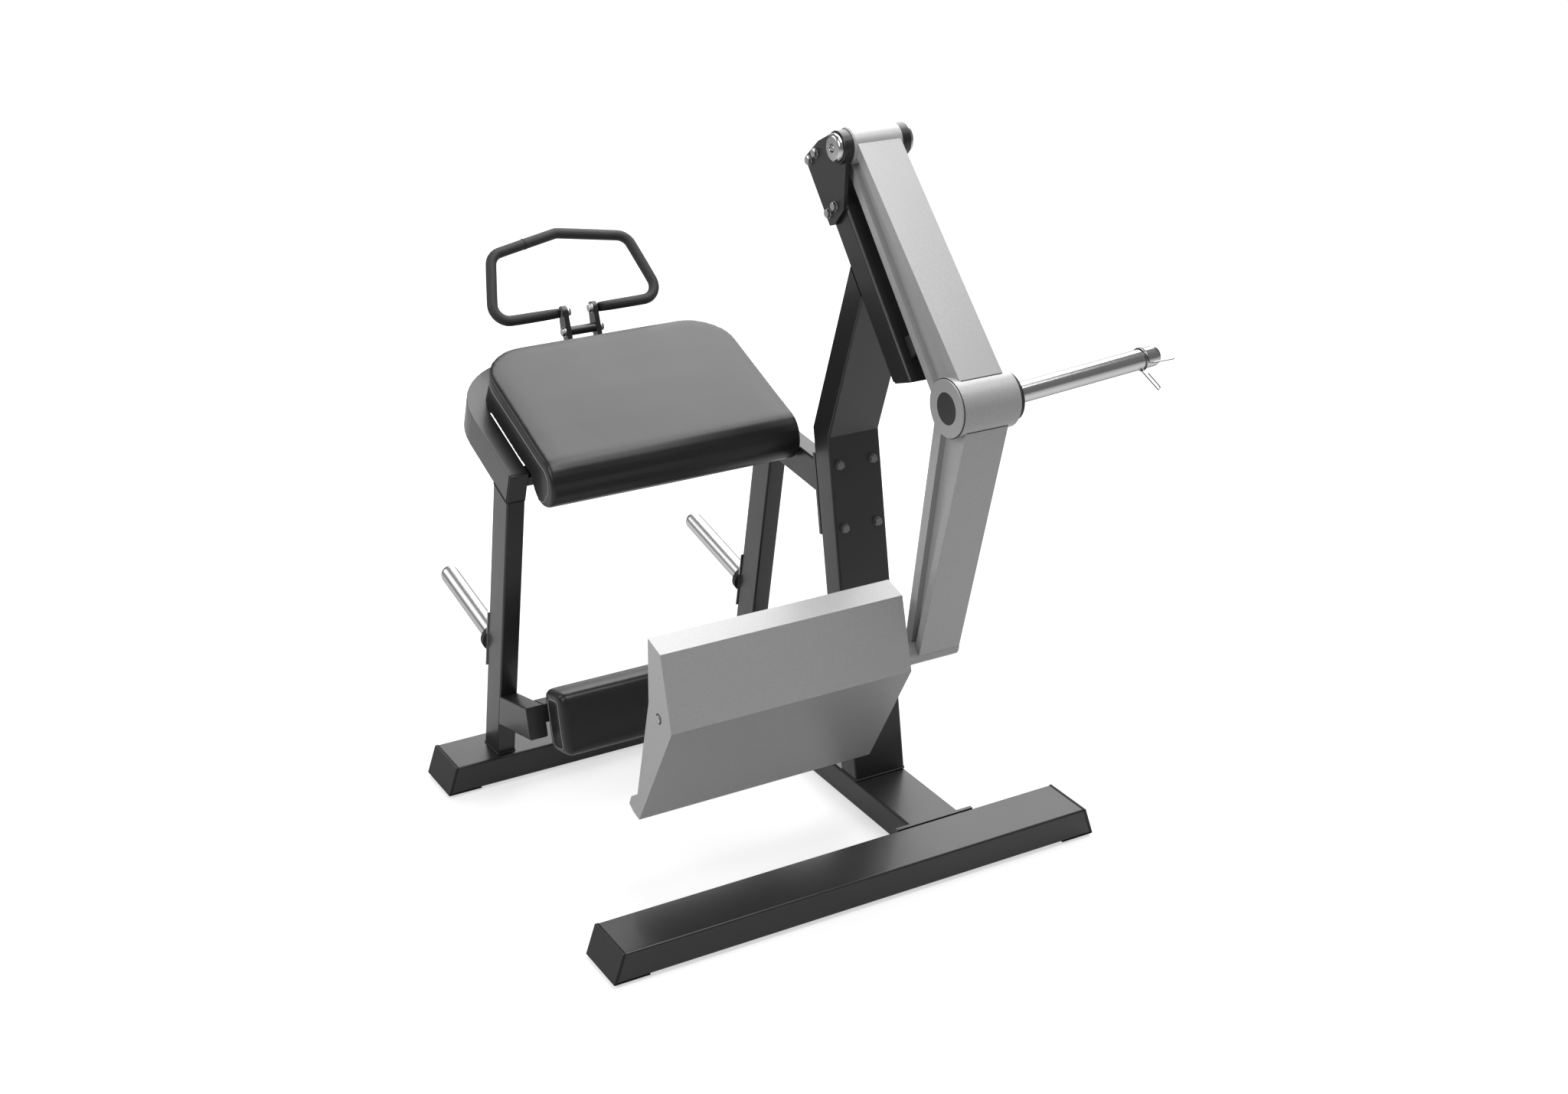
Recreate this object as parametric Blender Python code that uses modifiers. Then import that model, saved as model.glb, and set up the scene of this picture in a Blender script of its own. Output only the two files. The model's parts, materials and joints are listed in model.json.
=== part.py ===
# Glute kickback machine. The user leans on the chest pad, facing +Y, holds the handle behind it,
# rests one knee on the low pad and pushes the foot plate back (-Y) against the plate-loaded arm.
# X runs across the machine to the user's right, Y from the arm to the pads, Z up from the floor.
# Side-view points are (y, z) pairs, worked out from the driving dimensions below.

import bmesh
import bpy
from math import acos, asin, atan2, cos, hypot, pi, radians, sin, sqrt, tan
from mathutils import Matrix, Vector

# Clearances
GAP = 0.0003               # between pieces that touch
RUNNING_GAP = 0.0005       # between pieces that turn or slide on each other

# Frame tubes: main ones for base, mast and boom, side ones for legs, pad rail and knee rest
MAIN_WIDTH = 0.150
MAIN_DEPTH = 0.075
MAIN_CORNER = 0.006
SIDE_WIDTH = 0.050
SIDE_DEPTH = 0.086
SIDE_CORNER = 0.005

# Base
BEAM_LENGTH = 1.364
BEAM_END_SLANT = 0.0256    # how far each beam end leans in over the tube's height
END_CAP_THICKNESS = 0.003
BASE_DEPTH = 1.148
FOOT_HEIGHT = 0.010
FOOT_INSET = 0.025         # of the feet from the beam's end and sides
FOOT_LENGTH = 0.066
FOOT_CORNER = 0.008
CAP_TONGUE = 0.002         # thickness of the cap's tongue under the beam
CAP_TONGUE_REACH = 0.095
CAP_EDGE = 0.0006
SPINE_FLANGE_MARGIN = 0.038
SPINE_FLANGE_THICKNESS = 0.010
SPINE_FLANGE_PROUD = 0.0015

# Mast and boom
MAST_OFFSET = 0.296        # to the right of the beams' middle
MAST_FOOT_Y = 0.4488
MAST_LEAN = radians(9.8)
MAST_LOWER_LENGTH = 0.924
MAST_UPPER_LEAN = radians(20.1)
MAST_UPPER_LENGTH = 0.505
BOOM_LEAN = radians(40.1)
BOOM_BELOW = 0.304         # from where the mast meets it to its lower end
BOOM_ABOVE = 0.308
BOOM_END_TILT = radians(19)
BOOM_CAP_THICKNESS = 0.004
BUMPER_BELOW = 0.234
BUMPER_LENGTH = 0.055
BUMPER_WIDTH = 0.102
BUMPER_TAPER = 0.006

# Top pivot, placed from the mast and boom joint, along the boom and square to its front
PIVOT_ALONG = 0.2586
PIVOT_FORWARD = 0.1135
HUB_RADIUS = 0.0439
HUB_LENGTH = 0.133
HUB_END_RING = 0.003
SHAFT_RADIUS = 0.0170
BEARING_RADIUS = 0.031
BEARING_WIDTH = 0.017
HOUSING_RADIUS = 0.0399
HOUSING_OUTSIDE = 0.0070   # how far the bearing housing stands out of its plate
PIVOT_CAP_RADIUS = 0.0346
PIVOT_CAP_LENGTH = 0.013
PIVOT_CAP_DOME = 0.006
HEX_SOCKET = 0.007
HEX_SOCKET_DEPTH = 0.004
PLATE_THICKNESS = 0.010
PLATE_LOW = 0.124
PLATE_HIGH = 0.3175
PLATE_BACK = 0.0435
PLATE_CHAMFER = 0.021
PLATE_FRONT_RISE = radians(43.9)   # of its front edge, from the boom's direction
PLATE_LOW_CORNER = 0.008
PLATE_HIGH_CORNER = 0.004
PLATE_NOSE_RADIUS = 0.039
PLATE_BOLT_LOW = 0.1564
PLATE_BOLT_HIGH = 0.2995
PLATE_BOLT_SPACING = 0.036
PLATE_BOLT_BACK = 0.007    # bolt pairs sit this far behind the boom's centre line

# Swing arm
ARM_WIDTH = 0.118
ARM_EDGE = 0.0025
ARM_RECESS = 0.016
UPPER_ARM_LENGTH = 0.690
UPPER_ARM_ANGLE = radians(43.05)
LOWER_ARM_LENGTH = 0.702
LOWER_ARM_ANGLE = radians(12.4)
ARM_HALF_AT_HUB = 0.0395
ARM_FRONT_AT_ELBOW = 0.061
ARM_BACK_AT_ELBOW = 0.0685
ARM_HALF_AT_PEDAL = 0.0325
ARM_END_ABOVE_PEDAL = 0.014
UPPER_FRONT_FLANGE = 0.027
UPPER_BACK_FLANGE = 0.023
LOWER_FRONT_FLANGE = 0.0235
LOWER_BACK_FLANGE_TOP = 0.033
LOWER_BACK_FLANGE_END = 0.026
ELBOW_RADIUS = 0.070
ELBOW_LENGTH = 0.161
ELBOW_LIP = 0.004
PLUG_RADIUS = 0.038
PLUG_DEPTH = 0.012
PEDAL_TUBE_RADIUS = 0.0295
PEDAL_TUBE_OVERHANG = 0.0055

# Weight horns, spring collar and plate storage
HORN_RADIUS = 0.025
WEIGHT_HORN_LENGTH = 0.420
WEIGHT_HORN_TILT = radians(3.73)
HORN_COLLAR_RADIUS = 0.043
HORN_COLLAR_LENGTH = 0.012
STORAGE_HEIGHT = 0.413
STORAGE_HORN_LENGTH = 0.318
STORAGE_COLLAR_RADIUS = 0.039
STORAGE_COLLAR_LENGTH = 0.018
WEAR_PLATE_LOW = 0.338
WEAR_PLATE_HIGH = 0.504
WEAR_PLATE_THICKNESS = 0.003
WEAR_PLATE_MARGIN = 0.004
SPRING_WIRE_RADIUS = 0.00165
SPRING_FULL_TURNS = 2
SPRING_PITCH = 0.0047
SPRING_STEPS = 24          # points in a turn
SPRING_FROM_TIP = 0.027
SPRING_FIRST_END = radians(176)      # round the horn: 0 to the rear, 90 up; first is towards the tip
SPRING_LAST_END = radians(256)
SPRING_FIRST_HANDLE = radians(160)
SPRING_LAST_HANDLE = radians(247)
SPRING_HANDLE_LENGTH = 0.056
SPRING_HANDLE_WIDTH = 0.0094
SPRING_HANDLE_TILT = radians(32)
SPRING_HANDLE_RETURN = 0.78          # of the handle's length, for its free end
SPRING_HANDLE_BEND = 0.0040

# Foot plate: side-view corners from the pedal tube's axis
FOOT_PLATE_WIDTH = 0.653
FOOT_SHEET = 0.003
TREAD_SHEET = 0.004
TREAD_INSET = 0.0006       # of the tread behind the side walls' edges
FOOT_TOP_BACK = (0.0462, 0.1883)
FOOT_TOP_FRONT = (-0.0166, 0.1713)
FOOT_CREASE = (-0.0650, -0.0116)
FOOT_BOTTOM = (0.1187, -0.3282)
FOOT_LEDGE_LOW = (0.1500, -0.3215)
FOOT_LEDGE_OUT = (0.1720, -0.3085)
FOOT_LEDGE_TOP = (0.1590, -0.2830)
FOOT_BACK_LOW = (0.1248, -0.2605)
FOOT_BACK_KINK = (0.0498, 0.0212)
FOOT_PIN_RADIUS = 0.010
FOOT_BUSH_WALL = 0.003
FOOT_BUSH_LIP = 0.004

# Legs and pad frame
LEG_SPREAD = 0.752         # between the legs' centres
LEG_FOOT_Y = 1.058
LEG_LEAN = radians(11.45)
RAIL_HEIGHT = 0.8664       # of the pad rail's front lower corner
RAIL_SLOPE = radians(20.5)
RAIL_LENGTH = 0.4327
RAIL_CORNER = 0.1885
CROSS_TOP = 0.0133
CROSS_HEIGHT = 0.027
CROSS_DEPTH = 0.045
CROSS_REAR = 0.290
MAST_BOLT_SPREAD = 0.098
MAST_BOLT_BELOW = 0.0836   # the upper pair, down the mast from its bend
MAST_BOLT_STEP = 0.1649
LINK_ABOVE_BOLTS = 0.048   # its start, up the mast from the middle of the bolts
LINK_ABOVE_RAIL = 0.0262   # its end, over the rail's front lower corner
LINK_FLANGE_THICKNESS = 0.010
LINK_FLANGE_LENGTH = 0.215

# Chest pad, in the rail's slope: along from the rail's front end, up from its top
PAD_SIDE_ROOM = 0.006      # between the pad and each arm of the rail
PAD_OFFSET = -0.002        # of its middle from the seat's
PAD_BACK = 0.374
PAD_CORNER = 0.122
PAD_TOP = 0.0933
PAD_CROWN = 0.004
PAD_SOFT_EDGE = 0.010
PAD_ROLL_RADIUS = 0.0665
PAD_ROLL_FORWARD = 0.067
PAD_SIDE_DRAW = 0.003
BOARD_THICKNESS = 0.012
BOARD_INSET = 0.006        # of the chest pad's board behind the cushion's outline

# Handle behind the chest pad, its joint and cross bar placed in the rail's slope like the pad
HANDLE_OFFSET = -0.0056    # of its middle from the seat's
HANDLE_ALONG = 0.4880
HANDLE_UP = 0.0837
HANDLE_CROSS_ALONG = 0.4560
HANDLE_CROSS_UP = 0.0442
HANDLE_LINK_SPREAD = 0.100   # over the outer faces of the links
HANDLE_LINK_THICKNESS = 0.014
HANDLE_LINK_EDGE = 0.001
HANDLE_LINK_CREST = 0.0165
HANDLE_LINK_BEHIND = 0.0045  # of the crest's middle behind the joint
HANDLE_LINK_FRONT_LEAN = radians(19.2)
HANDLE_LINK_REAR_LEAN = radians(10.5)
HANDLE_LINK_REAR_EDGE = 0.045
HANDLE_LINK_REAR_FOOT = 0.005
HANDLE_TUBE_RADIUS = 0.0125
HANDLE_LEAN = radians(36.5)
HANDLE_HALF_WIDTH = 0.2455
HANDLE_HALF_TOP = 0.1963
HANDLE_RISE = 0.1845
HANDLE_PEAK = 0.220
HANDLE_BEND = 0.042

# Knee rest
KNEE_BRACKET_HEIGHT = 0.2303
KNEE_BRACKET_LENGTH = 0.195
KNEE_BRACKET_RISE = radians(13.8)
KNEE_CROSS_DEPTH = 0.066
KNEE_CROSS_HEIGHT = 0.050
KNEE_PAD_SIDE_ROOM = 0.006
KNEE_PAD_THICKNESS = 0.100
KNEE_PAD_HEIGHT = 0.166
KNEE_PAD_ABOVE = 0.038
KNEE_PAD_EDGE = 0.020
KNEE_PAD_CROWN = 0.004

# Bolts: washer faces, hexagon heads and shanks
BOLT_RADIUS = 0.006
BOLT_HEAD = 0.019          # across flats
BOLT_HEAD_HEIGHT = 0.008
WASHER_RADIUS = 0.0125
WASHER_THICKNESS = 0.0025

# Making: how far a drill starts outside the metal
DRILL_SPARE = 0.010

# Facets
ROUND_STEPS = 48
SMALL_STEPS = 24
BUSH_STEPS = 24

# Collections and the shared root
scene = bpy.context.scene
for old in list(bpy.data.objects):
    bpy.data.objects.remove(old, do_unlink=True)
machine = bpy.data.collections.new("glute_kickback_machine")
cutters = bpy.data.collections.new("cutters")
scene.collection.children.link(machine)
scene.collection.children.link(cutters)

# Rotations that stand a flat outline up: seen from the side, the front or above
SIDE_VIEW = (pi / 2, 0, pi / 2)
FRONT_VIEW = (pi / 2, 0, 0)
ALONG_X = (0, pi / 2, 0)


def paint(name, colour, roughness, metallic=0.0):
    material = bpy.data.materials.new(name)
    material.use_nodes = True
    shader = material.node_tree.nodes["Principled BSDF"]
    shader.inputs["Base Color"].default_value = (*colour, 1.0)
    shader.inputs["Roughness"].default_value = roughness
    shader.inputs["Metallic"].default_value = metallic
    return material


CHARCOAL = paint("charcoal_powder_coat", (0.045, 0.045, 0.047), 0.45)
SILVER = paint("silver_paint", (0.45, 0.45, 0.46), 0.38, 0.6)
CHROME = paint("chrome", (0.80, 0.80, 0.82), 0.08, 1.0)
ZINC = paint("bright_zinc", (0.62, 0.63, 0.65), 0.25, 1.0)
STEEL = paint("bearing_steel", (0.50, 0.50, 0.52), 0.30, 1.0)
RUBBER = paint("black_rubber", (0.020, 0.020, 0.021), 0.75)
PLASTIC = paint("black_plastic", (0.025, 0.025, 0.026), 0.50)
NYLON = paint("nylon", (0.08, 0.08, 0.08), 0.55)
UPHOLSTERY = paint("grey_upholstery", (0.060, 0.061, 0.064), 0.48)
PLYWOOD = paint("plywood", (0.35, 0.24, 0.14), 0.70)
GRIP = paint("grip_sleeve", (0.030, 0.030, 0.031), 0.65)


# Side-view geometry
def at(point, direction, distance):
    return Vector(point) + Vector(direction) * distance


def lean_back(angle):
    return Vector((sin(angle), cos(angle)))


def front_of(direction):
    # Square to an upward direction, to its front side
    return Vector((-direction.y, direction.x))


def meet(point_a, direction_a, point_b, direction_b):
    # Where two side-view lines cross
    across = Vector((-direction_b.y, direction_b.x))
    reach = (Vector(point_b) - Vector(point_a)).dot(across) / Vector(direction_a).dot(across)
    return at(point_a, direction_a, reach)


def line_meets_circle(point, direction, centre, radius):
    # The crossing nearest to the line's own point
    to_centre = Vector(centre) - Vector(point)
    along = to_centre.dot(direction)
    half_chord = sqrt(radius ** 2 - (to_centre - Vector(direction) * along).length_squared)
    return at(point, direction, along - half_chord)


def arc(centre, radius, start, end, steps):
    angles = [start + (end - start) * step / steps for step in range(steps + 1)]
    return [(centre[0] + radius * cos(angle), centre[1] + radius * sin(angle)) for angle in angles]


def arc_between(centre, start, end, steps):
    # The shorter way round from one point of a circle to another
    first = Vector(start) - Vector(centre)
    last = Vector(end) - Vector(centre)
    begin = atan2(first.y, first.x)
    sweep = (atan2(last.y, last.x) - begin + pi) % (2 * pi) - pi
    return arc(centre, first.length, begin, begin + sweep, steps)


def in_space(point, x):
    return Vector((x, point[0], point[1]))


# Making objects
def add(name, mesh, material, place=(0, 0, 0), turn=(0, 0, 0), collection=machine):
    obj = bpy.data.objects.new(name, mesh)
    obj.location = place
    obj.rotation_euler = turn
    if material:
        mesh.materials.clear()
        mesh.materials.append(material)
    collection.objects.link(obj)
    mesh.shade_smooth()
    mesh.set_sharp_from_angle(angle=radians(32))
    return obj


def close_mesh(bm, mesh):
    bmesh.ops.remove_doubles(bm, verts=bm.verts, dist=0.00001)
    bmesh.ops.recalc_face_normals(bm, faces=bm.faces)
    bm.to_mesh(mesh)
    bm.free()
    return mesh


def evaluated_mesh(obj):
    # The object's shape as a plain mesh; the object itself is removed
    bpy.context.view_layer.update()
    source = obj.evaluated_get(bpy.context.evaluated_depsgraph_get())
    mesh = bpy.data.meshes.new_from_object(source)
    name = obj.name
    bpy.data.objects.remove(obj, do_unlink=True)
    mesh.name = name
    bm = bmesh.new()
    bm.from_mesh(mesh)
    return close_mesh(bm, mesh)


def flat_mesh(name, outline, thickness, holes=()):
    curve = bpy.data.curves.new(name, "CURVE")
    curve.dimensions = "2D"
    curve.fill_mode = "BOTH"
    curve.extrude = thickness / 2
    for ring in (outline, *holes):
        spline = curve.splines.new("POLY")
        spline.points.add(len(ring) - 1)
        for point, corner in zip(spline.points, ring):
            point.co = (corner[0], corner[1], 0, 1)
        spline.use_cyclic_u = True
    obj = bpy.data.objects.new(name, curve)
    machine.objects.link(obj)
    return evaluated_mesh(obj)


def side_piece(name, outline, width, x, material, holes=(), edge=0.0):
    obj = add(name, flat_mesh(name, outline, width, holes), material, (x, 0, 0), SIDE_VIEW)
    if edge:
        soften(obj, edge)
    return obj


def soften(obj, width, segments=2, angle=40):
    bevel = obj.modifiers.new("soft_edges", "BEVEL")
    bevel.width = width
    bevel.segments = segments
    bevel.limit_method = "ANGLE"
    bevel.angle_limit = radians(angle)
    return obj


def round_outer_edges(mesh, width):
    bm = bmesh.new()
    bm.from_mesh(mesh)
    sharp = [e for e in bm.edges if e.is_convex and e.calc_face_angle() > radians(40)]
    bmesh.ops.bevel(bm, geom=sharp, offset=width, segments=1, affect="EDGES", profile=0.5)
    close_mesh(bm, mesh)


def circle(centre, radius, steps=16):
    return arc(centre, radius, 0, 2 * pi * (steps - 1) / steps, steps - 1)


def cut_end(bm, point, outward):
    # Removes what lies beyond a plane and closes the cut
    geometry = bm.verts[:] + bm.edges[:] + bm.faces[:]
    result = bmesh.ops.bisect_plane(bm, geom=geometry, plane_co=point, plane_no=outward, clear_outer=True)
    rim = [item for item in result["geom_cut"] if isinstance(item, bmesh.types.BMEdge)]
    bmesh.ops.edgeloop_fill(bm, edges=rim)


def box_mesh(name, size, corner=0.0, long_axis=2, segments=3):
    # A block centred on its origin, with its four long edges rounded
    bm = bmesh.new()
    bmesh.ops.create_cube(bm, size=1.0)
    bmesh.ops.scale(bm, vec=size, verts=bm.verts)
    if corner:
        runs = {edge: edge.verts[1].co - edge.verts[0].co for edge in bm.edges}
        long_edges = [edge for edge, run in runs.items() if abs(run[long_axis]) > size[long_axis] / 2]
        bmesh.ops.bevel(bm, geom=long_edges, offset=corner, segments=segments, affect="EDGES", profile=0.5)
    return close_mesh(bm, bpy.data.meshes.new(name))


def tube(name, start, end, x, width, depth, corner, material, planes=()):
    # A rectangular tube in the side view, from start to end, cut by (point, outward normal) planes
    run = Vector(end) - Vector(start)
    spare = max(width, depth)
    mesh = box_mesh(name, (width, depth, run.length + 2 * spare), corner)
    bm = bmesh.new()
    bm.from_mesh(mesh)
    bmesh.ops.translate(bm, vec=(0, 0, run.length / 2), verts=bm.verts)
    place = Matrix.Translation(in_space(start, x)) @ Matrix.Rotation(-atan2(run.x, run.y), 4, "X")
    to_local = place.inverted()
    for point, outward in planes:
        local_point = to_local @ in_space(point, x)
        local_normal = to_local.to_3x3() @ in_space(outward, 0)
        cut_end(bm, local_point, local_normal)
    close_mesh(bm, mesh)
    return add(name, mesh, material, place.to_translation(), place.to_euler())


def turned(name, profile, material, centre, turn=(0, 0, 0), steps=ROUND_STEPS):
    # A profile of (radius, height) points, down the outer side, spun about Z
    mesh = bpy.data.meshes.new(name)
    loop = list(range(len(profile)))
    on_axis = profile[0][0] == 0
    edges = list(zip(loop, loop[1:])) + ([] if on_axis else [(loop[-1], 0)])
    mesh.from_pydata([(radius, 0, height) for radius, height in profile], edges, [])
    obj = bpy.data.objects.new(name, mesh)
    machine.objects.link(obj)
    screw = obj.modifiers.new("turn", "SCREW")
    screw.steps = steps
    screw.render_steps = steps
    screw.use_merge_vertices = True
    screw.merge_threshold = 0.0001
    return add(name, evaluated_mesh(obj), material, centre, turn)


def disc_profile(radius, low, high, edge=0.0):
    if not edge:
        return [(0, high), (radius, high), (radius, low), (0, low)]
    return [(0, high), (radius - edge, high), (radius, high - edge),
            (radius, low + edge), (radius - edge, low), (0, low)]


def ring_profile(inner, outer, low, high, edge=0.0):
    if not edge:
        return [(inner, high), (outer, high), (outer, low), (inner, low)]
    return [(inner, high), (outer - edge, high), (outer, high - edge),
            (outer, low + edge), (outer - edge, low), (inner, low)]


def bar(name, points, radius, material, resolution=2):
    curve = bpy.data.curves.new(name, "CURVE")
    curve.dimensions = "3D"
    curve.bevel_depth = radius
    curve.bevel_resolution = resolution
    curve.use_fill_caps = True
    spline = curve.splines.new("POLY")
    spline.points.add(len(points) - 1)
    for point, place in zip(spline.points, points):
        point.co = (*place, 1)
    obj = bpy.data.objects.new(name, curve)
    machine.objects.link(obj)
    return add(name, evaluated_mesh(obj), material)


def loft_mesh(name, loops, ring=False):
    # Skins loops of equal length; the ends are closed, or joined to each other for a ring
    bm = bmesh.new()
    rows = [[bm.verts.new(point) for point in loop] for loop in loops]
    pairs = list(zip(rows, rows[1:])) + ([(rows[-1], rows[0])] if ring else [])
    for low, high in pairs:
        for index in range(len(low)):
            after = (index + 1) % len(low)
            bm.faces.new((low[index], low[after], high[after], high[index]))
    if not ring:
        bm.faces.new(list(reversed(rows[0])))
        bm.faces.new(rows[-1])
    return close_mesh(bm, bpy.data.meshes.new(name))


def drill(obj, radius, start, end):
    # A straight round hole between two points, as a cutter in the cutters collection
    run = Vector(end) - Vector(start)
    bm = bmesh.new()
    bmesh.ops.create_cone(bm, cap_ends=True, segments=12, radius1=radius, radius2=radius, depth=run.length)
    mesh = close_mesh(bm, bpy.data.meshes.new("drill"))
    cutter = add("drill", mesh, None, (Vector(start) + Vector(end)) / 2, collection=cutters)
    cutter.rotation_euler = run.to_track_quat("Z", "Y").to_euler()
    subtract(obj, cutter)


def subtract(obj, cutter):
    cutter.hide_render = True
    cutter.display_type = "WIRE"
    cut = obj.modifiers.new("cut", "BOOLEAN")
    cut.operation = "DIFFERENCE"
    cut.solver = "EXACT"
    cut.object = cutter


def bolt_mesh(name, grip, nut, radius=BOLT_RADIUS):
    # Twelve-sided: washer and head above Z 0, shank down to -grip, where a nut holds it or it ends
    sides = 12
    angles = [2 * pi * side / sides for side in range(sides)]

    def round_loop(size, height):
        return [(size * cos(a), size * sin(a), height) for a in angles]

    def hex_loop(height):
        reach = [BOLT_HEAD / 2 / cos((a + pi / 6) % (pi / 3) - pi / 6) for a in angles]
        return [(size * cos(a), size * sin(a), height) for size, a in zip(reach, angles)]

    chamfer = 0.001
    head_seat = GAP + WASHER_THICKNESS
    head_top = head_seat + BOLT_HEAD_HEIGHT
    half = [
        round_loop(radius, GAP), round_loop(WASHER_RADIUS, GAP), round_loop(WASHER_RADIUS, head_seat),
        hex_loop(head_seat), hex_loop(head_top - chamfer), round_loop(BOLT_HEAD / 2 - chamfer / 2, head_top),
    ]
    if nut:
        low = [[(x, y, -grip - z) for x, y, z in loop] for loop in reversed(half)]
    else:
        low = [round_loop(radius, -grip)]
    return loft_mesh(name, low + half)


def bolt(name, seat, facing, grip, nut=False):
    # Its head bears at the seat and faces outward
    turn = Vector(facing).to_track_quat("Z", "Y").to_euler()
    return add(name, bolt_mesh(name, grip, nut), ZINC, seat, turn)


def join(obj, other):
    # Welds another closed solid onto this one; the other stays as a guide among the cutters
    if other.name in machine.objects:
        machine.objects.unlink(other)
        cutters.objects.link(other)
    other.hide_render = True
    other.display_type = "WIRE"
    weld = obj.modifiers.new("weld", "BOOLEAN")
    weld.operation = "UNION"
    weld.solver = "EXACT"
    weld.object = other


# Places that the driving dimensions give
beam_top = FOOT_HEIGHT + MAIN_DEPTH
rear_beam_y = BASE_DEPTH - MAIN_WIDTH
seat_x = MAST_OFFSET - MAIN_WIDTH / 2 + SIDE_WIDTH / 2 - LEG_SPREAD / 2
leg_x = {"left": seat_x - LEG_SPREAD / 2, "right": seat_x + LEG_SPREAD / 2}
side_sign = {"left": -1, "right": 1}
between_legs = LEG_SPREAD - SIDE_WIDTH
pad_width = between_legs - 2 * PAD_SIDE_ROOM
knee_pad_width = between_legs - 2 * KNEE_PAD_SIDE_ROOM

mast_up = lean_back(MAST_LEAN)
mast_foot = Vector((MAST_FOOT_Y, beam_top))
mast_bend = at(mast_foot, mast_up, MAST_LOWER_LENGTH)
mast_upper_up = lean_back(-MAST_UPPER_LEAN)
boom_joint = at(mast_bend, mast_upper_up, MAST_UPPER_LENGTH)
boom_up = lean_back(BOOM_LEAN)
boom_front = front_of(boom_up)
pivot = at(at(boom_joint, boom_up, PIVOT_ALONG), boom_front, PIVOT_FORWARD)

arm_down = -lean_back(UPPER_ARM_ANGLE)
elbow = at(pivot, arm_down, UPPER_ARM_LENGTH)
arm_front = Vector((arm_down.y, -arm_down.x))
lower_down = Vector((sin(LOWER_ARM_ANGLE), -cos(LOWER_ARM_ANGLE)))
lower_front = Vector((lower_down.y, -lower_down.x))
pedal = at(elbow, lower_down, LOWER_ARM_LENGTH)

leg_up = lean_back(-LEG_LEAN)
leg_front = front_of(leg_up)
leg_foot = Vector((LEG_FOOT_Y, beam_top))
leg_front_foot = at(leg_foot, leg_front, SIDE_DEPTH / 2)
rail_back = Vector((cos(RAIL_SLOPE), sin(RAIL_SLOPE)))
rail_normal = Vector((-sin(RAIL_SLOPE), cos(RAIL_SLOPE)))
rail_low_front = meet((0, RAIL_HEIGHT), (1, 0), leg_front_foot, leg_up)
rail_start = at(rail_low_front, rail_normal, SIDE_DEPTH)


def on_boom(along, forward):
    return at(at(boom_joint, boom_up, along), boom_front, forward)


def on_rail(along, up):
    return at(at(rail_start, rail_back, along), rail_normal, up)


# Base: two beams, the spine between them, feet and end caps
def base_beam(name, y):
    mesh = box_mesh(name, (MAIN_DEPTH, MAIN_WIDTH, BEAM_LENGTH), MAIN_CORNER)
    bm = bmesh.new()
    bm.from_mesh(mesh)
    half = BEAM_LENGTH / 2
    cap_step = (END_CAP_THICKNESS + GAP) * hypot(1, BEAM_END_SLANT / MAIN_DEPTH)
    for end in (-1, 1):
        foot = Vector((MAIN_DEPTH / 2, 0, end * (half - cap_step)))
        outward = Vector((-BEAM_END_SLANT, 0, end * MAIN_DEPTH))
        cut_end(bm, foot, outward.normalized())
    close_mesh(bm, mesh)
    return add(name, mesh, CHARCOAL, (0, y + MAIN_WIDTH / 2, FOOT_HEIGHT + MAIN_DEPTH / 2), ALONG_X)


def foot_caps():
    # A moulded cap closes each beam end; its tongue runs in under the beam and carries the foot
    half = BEAM_LENGTH / 2
    cap_step = END_CAP_THICKNESS * hypot(1, BEAM_END_SLANT / MAIN_DEPTH)
    tongue_top = FOOT_HEIGHT - GAP
    tongue_low = tongue_top - CAP_TONGUE
    outline = [
        (half - CAP_TONGUE_REACH, tongue_low), (half - CAP_TONGUE, tongue_low), (half, FOOT_HEIGHT),
        (half - BEAM_END_SLANT, beam_top), (half - BEAM_END_SLANT - cap_step, beam_top),
        (half - cap_step, tongue_top), (half - CAP_TONGUE_REACH, tongue_top),
    ]
    foot_size = (FOOT_LENGTH, MAIN_WIDTH - 2 * FOOT_INSET, tongue_low + CAP_TONGUE / 2)
    foot_x = half - FOOT_INSET - FOOT_LENGTH / 2
    for end_name, y in (("front", 0), ("rear", rear_beam_y)):
        for side, sign in side_sign.items():
            name = "foot_cap_" + end_name + "_" + side
            mesh = flat_mesh(name, [(sign * x, z) for x, z in outline], MAIN_WIDTH)
            round_outer_edges(mesh, CAP_EDGE)
            middle = y + MAIN_WIDTH / 2
            cap = add(name, mesh, RUBBER, (0, middle, 0), FRONT_VIEW)
            foot = box_mesh("foot_" + end_name + "_" + side, foot_size, FOOT_CORNER)
            join(cap, add(foot.name, foot, None, (sign * foot_x, middle, foot_size[2] / 2)))


def base():
    base_beam("front_beam", 0)
    base_beam("rear_beam", rear_beam_y)
    foot_caps()
    centre_z = FOOT_HEIGHT + MAIN_DEPTH / 2
    spine_start = MAIN_WIDTH + GAP
    flange_overlap = SPINE_FLANGE_THICKNESS / 2
    spine_length = rear_beam_y - GAP - spine_start - flange_overlap
    spine_mesh = box_mesh("spine_tube", (MAIN_WIDTH, spine_length, MAIN_DEPTH), MAIN_CORNER, long_axis=1)
    spine_y = spine_start + flange_overlap + spine_length / 2
    spine = add("spine_tube", spine_mesh, CHARCOAL, (MAST_OFFSET, spine_y, centre_z))
    flange_width = MAIN_WIDTH + 2 * SPINE_FLANGE_MARGIN
    flange_height = MAIN_DEPTH + 2 * SPINE_FLANGE_PROUD
    flange_y = spine_start + SPINE_FLANGE_THICKNESS / 2
    flange = box_mesh("spine_flange", (flange_width, SPINE_FLANGE_THICKNESS, flange_height))
    join(spine, add("spine_flange", flange, None, (MAST_OFFSET, flange_y, centre_z)))


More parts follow.
